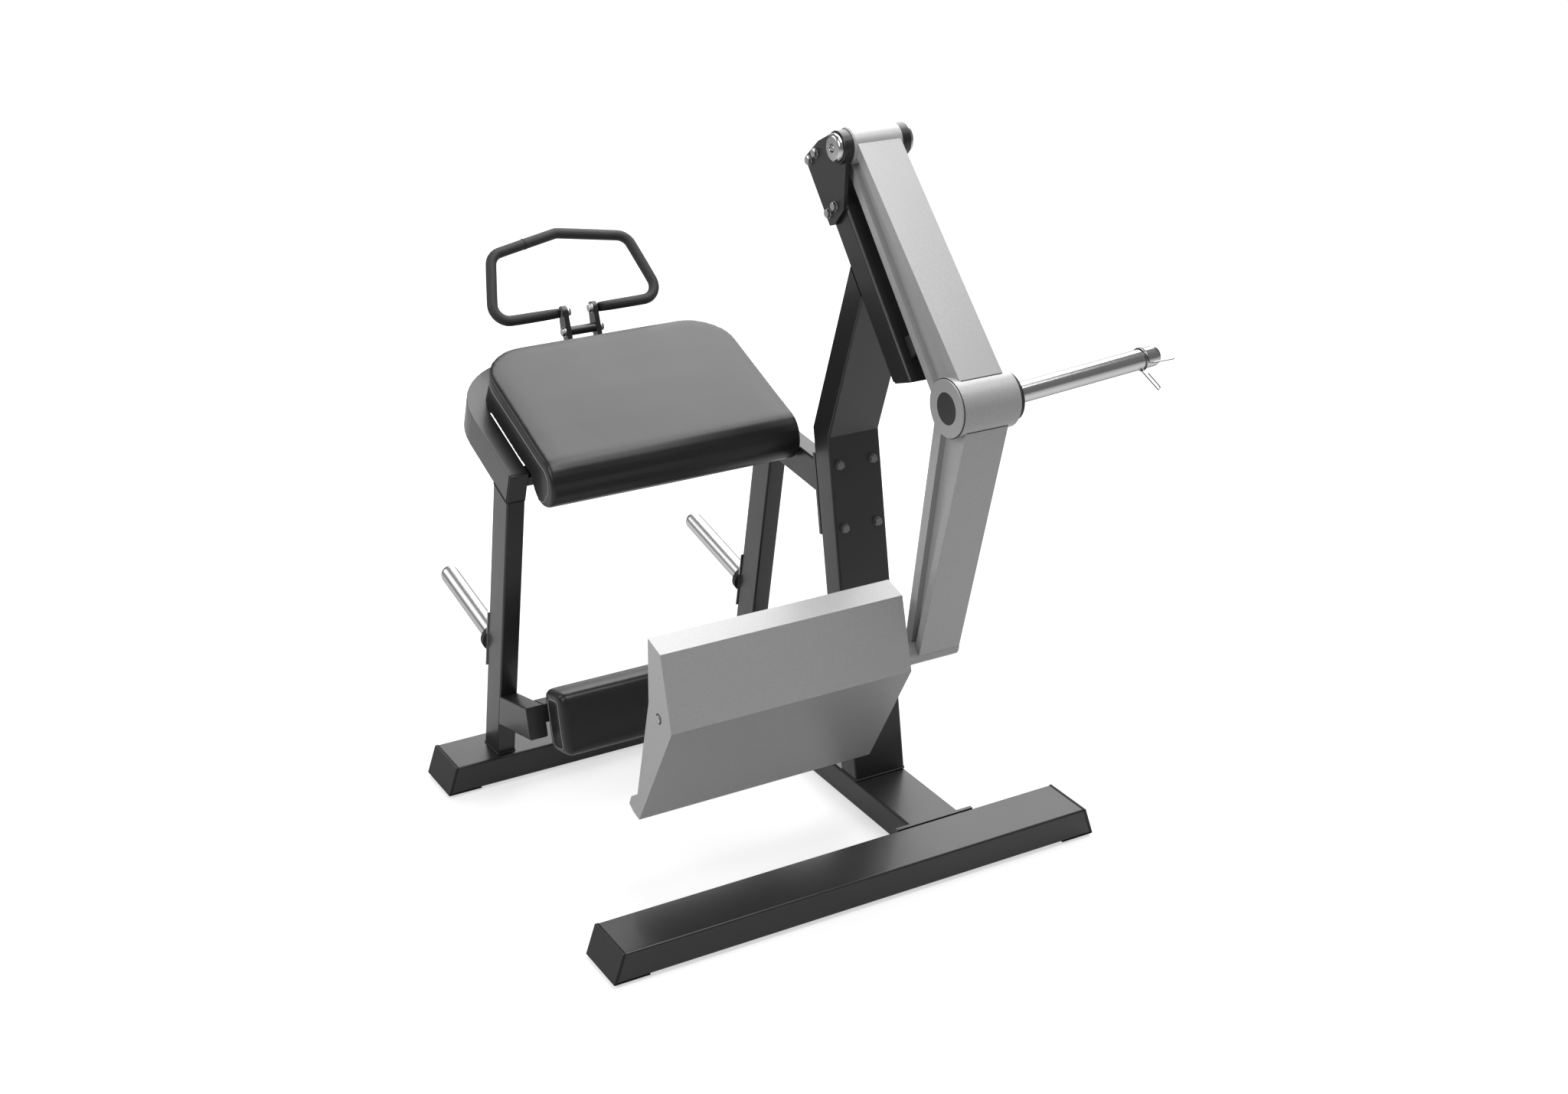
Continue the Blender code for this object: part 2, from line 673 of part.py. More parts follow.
# Mast, in two lengths with a mitred bend, and the boom on top of it
def mast():
    bend_plane = (mast_up + mast_upper_up).normalized()
    floor_plane = (at(mast_foot, (0, 1), GAP), Vector((0, -1)))
    lower = tube("mast_lower", mast_foot, mast_bend, MAST_OFFSET, MAIN_WIDTH, MAIN_DEPTH, MAIN_CORNER,
                 CHARCOAL, (floor_plane, (at(mast_bend, bend_plane, -GAP / 2), bend_plane)))
    mast_front = in_space(front_of(mast_up), 0)
    for seat in mast_bolt_places():
        start = seat + mast_front * DRILL_SPARE
        drill(lower, BOLT_RADIUS + GAP, start, start - mast_front * (MAIN_DEPTH + 2 * DRILL_SPARE))
    boom_back = on_boom(0, -MAIN_DEPTH / 2 - GAP)
    tube("mast_upper", mast_bend, boom_joint, MAST_OFFSET, MAIN_WIDTH, MAIN_DEPTH, MAIN_CORNER,
         CHARCOAL, ((at(mast_bend, bend_plane, GAP / 2), -bend_plane), (boom_back, boom_front)))


def mast_bolt_places():
    upper_seat = at(at(mast_bend, mast_up, -MAST_BOLT_BELOW), front_of(mast_up), MAIN_DEPTH / 2)
    places = []
    for seat in (at(upper_seat, mast_up, -MAST_BOLT_STEP), upper_seat):
        for side in (-1, 1):
            places.append(in_space(seat, MAST_OFFSET + side * MAST_BOLT_SPREAD / 2))
    return places


def plate_bolt_places():
    places = []
    for along in (PLATE_BOLT_LOW, PLATE_BOLT_HIGH):
        for step in (-1, 1):
            places.append(on_boom(along, step * PLATE_BOLT_SPACING / 2 - PLATE_BOLT_BACK))
    return places


def boom():
    end_out = Vector((-sin(BOOM_END_TILT), -cos(BOOM_END_TILT)))
    low_end = on_boom(-BOOM_BELOW, 0)
    tube_end = at(low_end, end_out, -BOOM_CAP_THICKNESS - GAP)
    top_end = on_boom(BOOM_ABOVE, 0)
    piece = tube("boom", low_end, top_end, MAST_OFFSET, MAIN_WIDTH, MAIN_DEPTH, MAIN_CORNER,
                 CHARCOAL, ((tube_end, end_out), (top_end, boom_up)))
    reach = MAIN_WIDTH / 2 + DRILL_SPARE
    for place in plate_bolt_places():
        ends = [in_space(place, MAST_OFFSET + side * reach) for side in (-1, 1)]
        drill(piece, BOLT_RADIUS + GAP, *ends)
    tube("boom_end_cap", at(low_end, boom_up, -0.01), at(low_end, boom_up, 0.02), MAST_OFFSET,
         MAIN_WIDTH - 0.004, MAIN_DEPTH - 0.004, MAIN_CORNER, PLASTIC,
         ((low_end, end_out), (at(low_end, end_out, -BOOM_CAP_THICKNESS), -end_out)))
    bumper_block()


def upper_arm_back(along):
    # The upper arm's back face, at a distance from the pivot along the arm
    share = along / UPPER_ARM_LENGTH
    depth = ARM_HALF_AT_HUB + (ARM_BACK_AT_ELBOW - ARM_HALF_AT_HUB) * share
    return at(at(pivot, arm_down, along), arm_front, -depth)


def bumper_block():
    arm_run = upper_arm_back(UPPER_ARM_LENGTH) - upper_arm_back(0)
    arm_line = (upper_arm_back(0), arm_run.normalized())
    face = MAIN_DEPTH / 2 + GAP
    half = BUMPER_LENGTH / 2
    outline = [on_boom(-BUMPER_BELOW + step * half, face) for step in (-1, 1)]
    for step in (1, -1):
        base_point = on_boom(-BUMPER_BELOW + step * (half - BUMPER_TAPER), face)
        touch = meet(base_point, boom_front, *arm_line)
        outline.append(at(touch, boom_front, -GAP))
    side_piece("bumper_block", outline, BUMPER_WIDTH, MAST_OFFSET, RUBBER, edge=0.003)


# Top pivot: plates on the boom, shaft, bearing rings and chrome caps
def plate_outline():
    nose = (PIVOT_ALONG, PIVOT_FORWARD)
    top_corner = Vector((PLATE_HIGH, MAIN_DEPTH / 2))
    to_nose = Vector(nose) - top_corner
    tangent_turn = asin(PLATE_NOSE_RADIUS / to_nose.length)
    top_angle = atan2(to_nose.y, to_nose.x) + pi / 2 - tangent_turn - pi
    low_corner = Vector((PLATE_LOW + PLATE_LOW_CORNER, MAIN_DEPTH / 2))
    front_slope = Vector((cos(PLATE_FRONT_RISE), sin(PLATE_FRONT_RISE)))
    front_end = line_meets_circle(low_corner, front_slope, nose, PLATE_NOSE_RADIUS)
    front_angle = atan2(front_end.y - nose[1], front_end.x - nose[0]) % (2 * pi)
    nose_arc = arc(nose, PLATE_NOSE_RADIUS, front_angle, top_angle % (2 * pi), 16)
    points = [
        (PLATE_LOW, -PLATE_BACK + PLATE_CHAMFER),
        tuple(low_corner),
        *nose_arc,
        tuple(top_corner),
        (PLATE_HIGH, -PLATE_BACK + PLATE_HIGH_CORNER),
        (PLATE_HIGH - PLATE_CHAMFER, -PLATE_BACK),
        (PLATE_LOW + PLATE_LOW_CORNER, -PLATE_BACK),
    ]
    return [on_boom(along, forward) for along, forward in points]


def top_pivot():
    outline = plate_outline()
    bolt_places = plate_bolt_places()
    plate_inside = MAIN_WIDTH / 2 + GAP
    plate_outside = plate_inside + PLATE_THICKNESS
    housing_inside = HUB_LENGTH / 2 + RUNNING_GAP
    housing_outside = plate_outside + HOUSING_OUTSIDE
    bearing_seat = BEARING_RADIUS + GAP
    holes = [circle(pivot, (bearing_seat + PLATE_NOSE_RADIUS) / 2, ROUND_STEPS)]
    holes += [circle(place, BOLT_RADIUS + GAP, 12) for place in bolt_places]
    centre = in_space(pivot, MAST_OFFSET)
    for side, sign in side_sign.items():
        turn = (0, sign * pi / 2, 0)
        plate_x = MAST_OFFSET + sign * (plate_inside + plate_outside) / 2
        plate = side_piece("pivot_plate_" + side, outline, PLATE_THICKNESS, plate_x, CHARCOAL, holes)
        housing = ring_profile(bearing_seat, HOUSING_RADIUS, housing_inside, housing_outside, 0.001)
        join(plate, turned("housing_" + side, housing, None, centre, turn))
        low = (housing_inside + housing_outside - BEARING_WIDTH) / 2
        bore = SHAFT_RADIUS + RUNNING_GAP
        bearing = ring_profile(bore, BEARING_RADIUS, low, low + BEARING_WIDTH, 0.001)
        turned("pivot_bearing_" + side, bearing, STEEL, centre, turn, SMALL_STEPS)
        pivot_cap(side, sign, housing_outside + GAP, centre, turn)
    shaft_half = housing_outside - 0.001
    shaft = disc_profile(SHAFT_RADIUS, -shaft_half, shaft_half, 0.001)
    turned("pivot_shaft", shaft, STEEL, centre, ALONG_X, SMALL_STEPS)
    grip = 2 * plate_outside
    for number, place in enumerate(bolt_places, 1):
        seat = in_space(place, MAST_OFFSET - plate_outside)
        bolt("pivot_plate_bolt_" + str(number), seat, (-1, 0, 0), grip, nut=True)


def pivot_cap(side, sign, low, centre, turn):
    # A domed cover on the bearing housing, with a hexagon socket
    high = low + PIVOT_CAP_LENGTH
    shoulder = (PIVOT_CAP_RADIUS - PIVOT_CAP_DOME, high - PIVOT_CAP_DOME)
    dome = arc(shoulder, PIVOT_CAP_DOME, pi / 2, 0, 5)
    profile = [(0, high), *dome, (PIVOT_CAP_RADIUS, low), (0, low)]
    piece = turned("pivot_cap_" + side, profile, CHROME, centre, turn)
    socket_place = centre + Vector((sign * high, 0, 0))
    socket = hex_prism(HEX_SOCKET, 2 * HEX_SOCKET_DEPTH)
    subtract(piece, add("hex_socket", socket, None, socket_place, turn, cutters))


def hex_prism(across_flats, height):
    bm = bmesh.new()
    radius = across_flats / 2 / cos(pi / 6)
    bmesh.ops.create_cone(bm, cap_ends=True, segments=6, radius1=radius, radius2=radius, depth=height)
    return close_mesh(bm, bpy.data.meshes.new("hex_prism"))


# Swing arm: hub, tapered upper and lower arms with side recesses, elbow, pedal tube
def hub():
    half = HUB_LENGTH / 2
    bore = SHAFT_RADIUS + GAP
    step = HUB_RADIUS - 0.0015
    profile = [
        (bore, half), (step, half), (step, half - HUB_END_RING), (HUB_RADIUS, half - HUB_END_RING),
        (HUB_RADIUS, HUB_END_RING - half), (step, HUB_END_RING - half), (step, -half), (bore, -half),
    ]
    turned("pivot_hub", profile, SILVER, in_space(pivot, MAST_OFFSET), ALONG_X)


def arm_with_recesses(name, outline, pocket):
    piece = side_piece(name, outline, ARM_WIDTH, MAST_OFFSET, SILVER)
    for sign in (-1, 1):
        middle = MAST_OFFSET + sign * ARM_WIDTH / 2
        cutter = side_piece(name + "_recess", pocket, 2 * ARM_RECESS, middle, None)
        machine.objects.unlink(cutter)
        cutters.objects.link(cutter)
        subtract(piece, cutter)
    soften(piece, ARM_EDGE)
    return piece


def arm_back_corner():
    # Where the back edges of the two arms meet behind the elbow
    upper_run = at(elbow, arm_front, -ARM_BACK_AT_ELBOW) - at(pivot, arm_front, -ARM_HALF_AT_HUB)
    lower_run = at(pedal, lower_front, -ARM_HALF_AT_PEDAL) - at(elbow, lower_front, -ARM_BACK_AT_ELBOW)
    upper_point = at(elbow, arm_front, -ARM_BACK_AT_ELBOW)
    lower_point = at(elbow, lower_front, -ARM_BACK_AT_ELBOW)
    return meet(upper_point, upper_run.normalized(), lower_point, lower_run.normalized())


def elbow_mitre(run):
    # The arm's end behind the elbow: its back edge, then the mitre with the other arm, down to the tube
    corner = arm_back_corner()
    mitre = (corner - elbow).normalized()
    aside = Vector((-mitre.y, mitre.x))
    if aside.dot(run) > 0:
        aside = -aside
    seam = at(elbow, aside, GAP / 2)
    on_tube = line_meets_circle(corner + aside * GAP / 2, -mitre, elbow, ELBOW_RADIUS + GAP)
    return meet(corner, run, seam, mitre), on_tube


def upper_arm():
    start = {side: at(pivot, arm_front, side * ARM_HALF_AT_HUB) for side in (-1, 1)}
    end = {1: at(elbow, arm_front, ARM_FRONT_AT_ELBOW), -1: at(elbow, arm_front, -ARM_BACK_AT_ELBOW)}
    hub_edge = {}
    elbow_edge = {}
    for side in (-1, 1):
        run = (end[side] - start[side]).normalized()
        hub_edge[side] = line_meets_circle(end[side], -run, pivot, HUB_RADIUS + GAP)
        elbow_edge[side] = line_meets_circle(start[side], run, elbow, ELBOW_RADIUS + GAP)
    back_corner, on_tube = elbow_mitre((end[-1] - start[-1]).normalized())
    outline = [
        *arc_between(pivot, hub_edge[1], hub_edge[-1], 14),
        back_corner,
        *arc_between(elbow, on_tube, elbow_edge[1], 18),
    ]
    pocket = [
        at(start[1], arm_front, -UPPER_FRONT_FLANGE), at(end[1], arm_front, -UPPER_FRONT_FLANGE),
        at(end[-1], arm_front, UPPER_BACK_FLANGE), at(start[-1], arm_front, UPPER_BACK_FLANGE),
    ]
    arm_with_recesses("upper_arm", outline, pocket)


def lower_arm():
    start = {1: at(elbow, lower_front, ARM_FRONT_AT_ELBOW), -1: at(elbow, lower_front, -ARM_BACK_AT_ELBOW)}
    end = {side: at(pedal, lower_front, side * ARM_HALF_AT_PEDAL) for side in (-1, 1)}
    elbow_edge = {}
    shoulder = {}
    saddle = {}
    saddle_radius = PEDAL_TUBE_RADIUS + GAP
    saddle_half = sqrt(saddle_radius ** 2 - ARM_END_ABOVE_PEDAL ** 2)
    end_line = at(pedal, lower_down, -ARM_END_ABOVE_PEDAL)
    for side in (-1, 1):
        run = (end[side] - start[side]).normalized()
        elbow_edge[side] = line_meets_circle(end[side], -run, elbow, ELBOW_RADIUS + GAP)
        shoulder[side] = meet(start[side], run, end_line, lower_front)
        saddle[side] = at(end_line, lower_front, side * saddle_half)
    back_corner, on_tube = elbow_mitre((start[-1] - end[-1]).normalized())
    outline = [
        *arc_between(elbow, elbow_edge[1], on_tube, 18),
        back_corner,
        shoulder[-1],
        *arc_between(pedal, saddle[-1], saddle[1], 10),
        shoulder[1],
    ]
    pocket = [
        at(start[1], lower_front, -LOWER_FRONT_FLANGE), at(end[1], lower_front, -LOWER_FRONT_FLANGE),
        at(end[-1], lower_front, LOWER_BACK_FLANGE_END), at(start[-1], lower_front, LOWER_BACK_FLANGE_TOP),
    ]
    arm_with_recesses("lower_arm", outline, pocket)


def elbow_joint():
    centre = in_space(elbow, MAST_OFFSET)
    half = ELBOW_LENGTH / 2
    lip_radius = ELBOW_RADIUS - 0.0015
    bore = PLUG_RADIUS + GAP
    bore_end = PLUG_DEPTH + GAP - half
    profile = [
        (0, half), (ELBOW_RADIUS - 0.002, half), (ELBOW_RADIUS, half - 0.002),
        (ELBOW_RADIUS, ELBOW_LIP - half), (lip_radius, ELBOW_LIP - half), (lip_radius, -half),
        (bore, -half), (bore, bore_end), (0, bore_end),
    ]
    turned("elbow_tube", profile, SILVER, centre, ALONG_X)
    plug = [
        (0, PLUG_DEPTH - half), (PLUG_RADIUS, PLUG_DEPTH - half),
        (PLUG_RADIUS, 0.001 - half), (PLUG_RADIUS - 0.002, -half), (0, -half),
    ]
    turned("elbow_plug", plug, PLASTIC, centre, ALONG_X)


def pedal_tube():
    right_end = MAST_OFFSET + ARM_WIDTH / 2 + PEDAL_TUBE_OVERHANG
    left_wall = seat_x - FOOT_PLATE_WIDTH / 2
    left_end = left_wall + FOOT_SHEET + FOOT_BUSH_LIP + 2 * RUNNING_GAP
    pin_end = left_wall - 0.002
    profile = [
        (0, right_end), (PEDAL_TUBE_RADIUS - 0.002, right_end), (PEDAL_TUBE_RADIUS, right_end - 0.002),
        (PEDAL_TUBE_RADIUS, left_end), (FOOT_PIN_RADIUS, left_end),
        (FOOT_PIN_RADIUS, pin_end + 0.001), (FOOT_PIN_RADIUS - 0.001, pin_end), (0, pin_end),
    ]
    turned("pedal_tube", profile, SILVER, in_space(pedal, 0), ALONG_X, 40)


# Round horn with a domed tip, its root cut on a slant; tilt is between root plane and horn
def horn_mesh(name, radius, length, root_tilt=0.0):
    angles = [2 * pi * side / SMALL_STEPS for side in range(SMALL_STEPS)]
    root = [(radius * cos(a), radius * sin(a), radius * sin(a) * tan(root_tilt)) for a in angles]
    loops = [root]
    dome_steps = 7
    for step in range(dome_steps):
        rise = pi / 2 * step / dome_steps
        ring = radius * cos(rise)
        loops.append([(ring * cos(a), ring * sin(a), length + radius * sin(rise)) for a in angles])
    tip = ring / 3
    loops.append([(tip * cos(a), tip * sin(a), length + radius) for a in angles])
    return loft_mesh(name, loops)


def collar_mesh(name, inner, outer, length, root_tilt=0.0):
    # A rubber ring round a horn's root, its near face cut on the same slant
    angles = [2 * pi * side / SMALL_STEPS for side in range(SMALL_STEPS)]

    def loop(radius, height, slant=0.0):
        return [(radius * cos(a), radius * sin(a), height + radius * sin(a) * tan(slant)) for a in angles]

    loops = [
        loop(inner, 0, root_tilt), loop(outer, 0, root_tilt),
        loop(outer, length - 0.003), loop(outer - 0.003, length), loop(inner, length),
    ]
    return loft_mesh(name, loops, ring=True)


def weight_horn():
    root = in_space(elbow, MAST_OFFSET + ELBOW_LENGTH / 2 + GAP)
    turn = weight_horn_turn()
    horn = horn_mesh("weight_horn", HORN_RADIUS, WEIGHT_HORN_LENGTH, WEIGHT_HORN_TILT)
    add("weight_horn", horn, CHROME, root, turn)
    ring = collar_mesh("horn_collar", HORN_RADIUS + GAP, HORN_COLLAR_RADIUS, HORN_COLLAR_LENGTH,
                       WEIGHT_HORN_TILT)
    add("horn_collar", ring, RUBBER, root, turn)


def weight_horn_turn():
    # Local Z along the horn, local Y up
    tilt = WEIGHT_HORN_TILT
    out = Vector((cos(tilt), 0, sin(tilt)))
    up = Vector((-sin(tilt), 0, cos(tilt)))
    return Matrix((up.cross(out), up, out)).transposed().to_euler()


# Spring collar: a coil on the horn, each end drawn out as a narrow loop handle and turned back
def spring_points():
    coil_radius = HORN_RADIUS + RUNNING_GAP + SPRING_WIRE_RADIUS
    sweep = SPRING_FIRST_END - SPRING_LAST_END + 2 * pi * SPRING_FULL_TURNS
    steps = round(sweep / (2 * pi) * SPRING_STEPS)
    coil = []
    for step in range(steps + 1):
        share = step / steps
        angle = SPRING_FIRST_END - sweep * share
        height = SPRING_PITCH * sweep / (2 * pi) * (0.5 - share)
        coil.append(Vector((coil_radius * cos(angle), coil_radius * sin(angle), height)))
    first = handle_points(coil[0], coil[1], SPRING_FIRST_HANDLE, -1)
    last = handle_points(coil[-1], coil[-2], SPRING_LAST_HANDLE, 1)
    return list(reversed(first)) + coil + last


def handle_points(end, inner, outward_angle, turn_side):
    # Bends out from the coil's end, leans towards the horn's tip, and turns back beside itself
    leave = (end - inner).normalized()
    outward = Vector((cos(outward_angle), sin(outward_angle), 0))
    along_horn = Vector((0, 0, 1))
    run = outward * cos(SPRING_HANDLE_TILT) + along_horn * sin(SPRING_HANDLE_TILT)
    aside = (along_horn * cos(SPRING_HANDLE_TILT) - outward * sin(SPRING_HANDLE_TILT)) * turn_side
    points = []
    for angle in (pi / 6, pi / 3, pi / 2):
        points.append(end + (leave * sin(angle) + run * (1 - cos(angle))) * SPRING_HANDLE_BEND)
    half = SPRING_HANDLE_WIDTH / 2
    middle = points[-1] + run * SPRING_HANDLE_LENGTH + aside * half
    turn_steps = 8
    for step in range(turn_steps + 1):
        angle = pi * step / turn_steps
        points.append(middle + (run * sin(angle) - aside * cos(angle)) * half)
    points.append(points[-1] - run * SPRING_HANDLE_LENGTH * SPRING_HANDLE_RETURN)
    return points


def least_gap(points, radius):
    # Between stretches of one wire that are more than a bend apart along it
    along = [0.0]
    for before, after in zip(points, points[1:]):
        along.append(along[-1] + (after - before).length)
    far_apart = 2 * pi * radius
    gaps = [(points[a] - points[b]).length for a in range(len(points)) for b in range(a)
            if along[a] - along[b] > far_apart]
    return min(gaps) - 2 * radius


def spring_collar():
    points = spring_points()
    print("spring collar, least gap to itself in mm:", round(least_gap(points, SPRING_WIRE_RADIUS) * 1000, 2))
    piece = bar("spring_collar", points, SPRING_WIRE_RADIUS, ZINC, 1)
    turn = weight_horn_turn()
    out = turn.to_matrix() @ Vector((0, 0, 1))
    root = in_space(elbow, MAST_OFFSET + ELBOW_LENGTH / 2)
    piece.location = root + out * (WEIGHT_HORN_LENGTH - SPRING_FROM_TIP)
    piece.rotation_euler = turn


# Foot plate: a folded shell open to the rear, closed there by the bent tread
def foot_point(corner):
    return at(pedal, (1, 0), corner[0]) + Vector((0, corner[1]))


def offset_path(points, distance):
    # Moves a polyline sideways to its left, with mitred corners
    moved = []
    for index, point in enumerate(points):
        before = Vector(points[max(index - 1, 0)])
        after = Vector(points[min(index + 1, len(points) - 1)])
        here = Vector(point)
        normals = []
        for start, end in ((before, here), (here, after)):
            if (end - start).length > 0:
                run = (end - start).normalized()
                normals.append(Vector((-run.y, run.x)))
        middle = sum(normals, Vector((0, 0))).normalized()
        moved.append(here + middle * distance / middle.dot(normals[0]))
    return moved


def foot_shell():
    # Two side walls, each with the hole for its bush, and the folded front sheet between them
    corners = [FOOT_TOP_BACK, FOOT_TOP_FRONT, FOOT_CREASE, FOOT_BOTTOM, FOOT_LEDGE_LOW, FOOT_LEDGE_OUT,
               FOOT_LEDGE_TOP, FOOT_BACK_LOW, FOOT_BACK_KINK]
    outline = [foot_point(corner) for corner in corners]
    folds = corners[:5]
    sheet = [foot_point(p) for p in folds + list(reversed(offset_path(folds, FOOT_SHEET)))]
    shell = side_piece("foot_shell", sheet, FOOT_PLATE_WIDTH - FOOT_SHEET, seat_x, SILVER)
    bush_space = RUNNING_GAP + FOOT_BUSH_WALL + GAP
    for side, pin_radius in (("left", FOOT_PIN_RADIUS), ("right", PEDAL_TUBE_RADIUS)):
        x = seat_x + side_sign[side] * (FOOT_PLATE_WIDTH - FOOT_SHEET) / 2
        hole = circle(pedal, pin_radius + bush_space, BUSH_STEPS)
        join(shell, side_piece("foot_wall_" + side, outline, FOOT_SHEET, x, None, [hole]))


def foot_tread():
    # The bent sheet that the foot pushes on, with its heel ledge, between the shell's side walls
    back = [FOOT_TOP_BACK, FOOT_BACK_KINK, FOOT_BACK_LOW, FOOT_LEDGE_TOP, FOOT_LEDGE_OUT, FOOT_LEDGE_LOW]
    outer = offset_path(back, -TREAD_INSET)
    inner = offset_path(back, -TREAD_INSET - TREAD_SHEET)
    slope = (Vector(FOOT_TOP_BACK) - Vector(FOOT_TOP_FRONT)).normalized()
    skin_top = Vector(FOOT_TOP_BACK) - Vector((-slope.y, slope.x)) * (FOOT_SHEET + 2 * GAP)
    outer[0] = meet(outer[0], (outer[1] - outer[0]).normalized(), skin_top, slope)
    inner[0] = meet(inner[0], (inner[1] - inner[0]).normalized(), skin_top, slope)
    low_slope = (Vector(FOOT_LEDGE_LOW) - Vector(FOOT_BOTTOM)).normalized()
    low_rise = Vector((-low_slope.y, low_slope.x))
    skin_low = Vector(FOOT_LEDGE_LOW) + low_rise * (FOOT_SHEET + GAP)
    outer[-1] = meet(outer[-2], (outer[-1] - outer[-2]).normalized(), skin_low, low_slope)
    inner[-1] = meet(inner[-2], (inner[-1] - inner[-2]).normalized(), skin_low, low_slope)
    outline = [foot_point(p) for p in outer + list(reversed(inner))]
    side_piece("foot_tread", outline, FOOT_PLATE_WIDTH - 2 * FOOT_SHEET - 2 * GAP, seat_x, SILVER)


def foot_bushes():
    right_wall = seat_x + FOOT_PLATE_WIDTH / 2
    left_wall = seat_x - FOOT_PLATE_WIDTH / 2
    bore = PEDAL_TUBE_RADIUS + RUNNING_GAP
    outside = bore + FOOT_BUSH_WALL
    lip = outside + 0.005
    lip_seat = right_wall - FOOT_SHEET - GAP
    right = [
        (bore, right_wall + 0.002), (outside, right_wall + 0.002), (outside, lip_seat), (lip, lip_seat),
        (lip, lip_seat - FOOT_BUSH_LIP), (bore, lip_seat - FOOT_BUSH_LIP),
    ]
    turned("foot_bush_right", right, NYLON, in_space(pedal, 0), ALONG_X, BUSH_STEPS)
    bore = FOOT_PIN_RADIUS + RUNNING_GAP
    outside = bore + FOOT_BUSH_WALL
    lip = outside + 0.005
    lip_seat = left_wall + FOOT_SHEET + GAP
    left = [
        (bore, lip_seat + FOOT_BUSH_LIP), (lip, lip_seat + FOOT_BUSH_LIP),
        (lip, lip_seat), (outside, lip_seat), (outside, left_wall), (bore, left_wall),
    ]
    turned("foot_bush_left", left, NYLON, in_space(pedal, 0), ALONG_X, BUSH_STEPS)


# Legs, the U-shaped pad rail, cross members and the link to the mast
def legs():
    floor_plane = (at(leg_foot, (0, 1), GAP), Vector((0, -1)))
    rail_plane = (on_rail(0, -SIDE_DEPTH - GAP), rail_normal)
    top = meet(leg_foot, leg_up, rail_low_front, rail_back)
    for side, x in leg_x.items():
        tube("leg_" + side, leg_foot, top, x, SIDE_WIDTH, SIDE_DEPTH, SIDE_CORNER, CHARCOAL,
             (floor_plane, rail_plane))


def rail_turn():
    # Local X across, local Y up the slope, local Z square to it
    return (RAIL_SLOPE, 0, 0)


def pad_rail():
    half = LEG_SPREAD / 2 + SIDE_WIDTH / 2
    inner = half - SIDE_WIDTH
    inner_corner = RAIL_CORNER - SIDE_WIDTH
    corner_along = RAIL_LENGTH - RAIL_CORNER
    outline = [
        (-half, 0), *arc((-half + RAIL_CORNER, corner_along), RAIL_CORNER, pi, pi / 2, 12),
        *arc((half - RAIL_CORNER, corner_along), RAIL_CORNER, pi / 2, 0, 12), (half, 0),
        (inner, 0), *arc((inner - inner_corner, corner_along), inner_corner, 0, pi / 2, 12),
        *arc((inner_corner - inner, corner_along), inner_corner, pi / 2, pi, 12), (-inner, 0),
    ]
    middle = in_space(on_rail(0, -SIDE_DEPTH / 2), seat_x)
    rail = add("pad_rail", flat_mesh("pad_rail", outline, SIDE_DEPTH), CHARCOAL, middle, rail_turn())
    soften(rail, 0.004, angle=60)


def rail_inside_half(along):
    # Half the clear width between the rail's arms, less in its rounded corners
    half = LEG_SPREAD / 2 - SIDE_WIDTH / 2 - GAP
    radius = RAIL_CORNER - SIDE_WIDTH - GAP
    past = max(0, along - RAIL_LENGTH + RAIL_CORNER)
    return half - radius + sqrt(radius ** 2 - past ** 2)


def pad_cross_members():
    for name, along in (("pad_cross_front", 0), ("pad_cross_rear", CROSS_REAR)):
        ends = [(rail_inside_half(edge), edge) for edge in (along, along + CROSS_DEPTH)]
        outline = ends + [(-x, y) for x, y in reversed(ends)]
        middle = on_rail(0, -CROSS_TOP - CROSS_HEIGHT / 2)
        add(name, flat_mesh(name, outline, CROSS_HEIGHT), CHARCOAL, in_space(middle, seat_x), rail_turn())


def link():
    # A flange bolted through the mast, and the side tube welded to it that reaches the pad frame
    back = -front_of(mast_up)
    between_bolts = at(mast_bend, mast_up, -MAST_BOLT_BELOW - MAST_BOLT_STEP / 2)
    centre = at(between_bolts, back, MAIN_DEPTH / 2 + GAP)
    start = at(centre, mast_up, -LINK_FLANGE_LENGTH / 2)
    end = at(centre, mast_up, LINK_FLANGE_LENGTH / 2)
    outline = [start, end, at(end, back, LINK_FLANGE_THICKNESS), at(start, back, LINK_FLANGE_THICKNESS)]
    weld_face = at(centre, back, LINK_FLANGE_THICKNESS / 2)
    link_start = at(weld_face, mast_up, LINK_ABOVE_BOLTS)
    link_end = meet((0, RAIL_HEIGHT + LINK_ABOVE_RAIL), (1, 0), leg_front_foot, leg_up)
    planes = (
        (weld_face, -back),
        (on_rail(-GAP, 0), rail_back),
        (at(leg_front_foot, leg_front, GAP), -leg_front),
    )
    piece = tube("link_tube", link_start, link_end, leg_x["right"], SIDE_WIDTH, SIDE_DEPTH, SIDE_CORNER,
                 CHARCOAL, planes)
    join(piece, side_piece("link_flange", outline, MAIN_WIDTH, MAST_OFFSET, None))
    facing = in_space(front_of(mast_up), 0)
    tapped = MAIN_DEPTH + LINK_FLANGE_THICKNESS * 0.8
    for number, place in enumerate(mast_bolt_places(), 1):
        drill(piece, BOLT_RADIUS + GAP, place, place - facing * tapped)
        bolt("mast_bolt_" + str(number), place, facing, tapped - GAP)


# Chest pad: a front roll run into a crowned top, drawn in at the sides, on a board
def pad_back_edge(x, half, back, corner):
    beyond = abs(x) - (half - corner)
    if beyond <= 0:
        return back
    return back - corner + sqrt(max(corner ** 2 - beyond ** 2, 0))


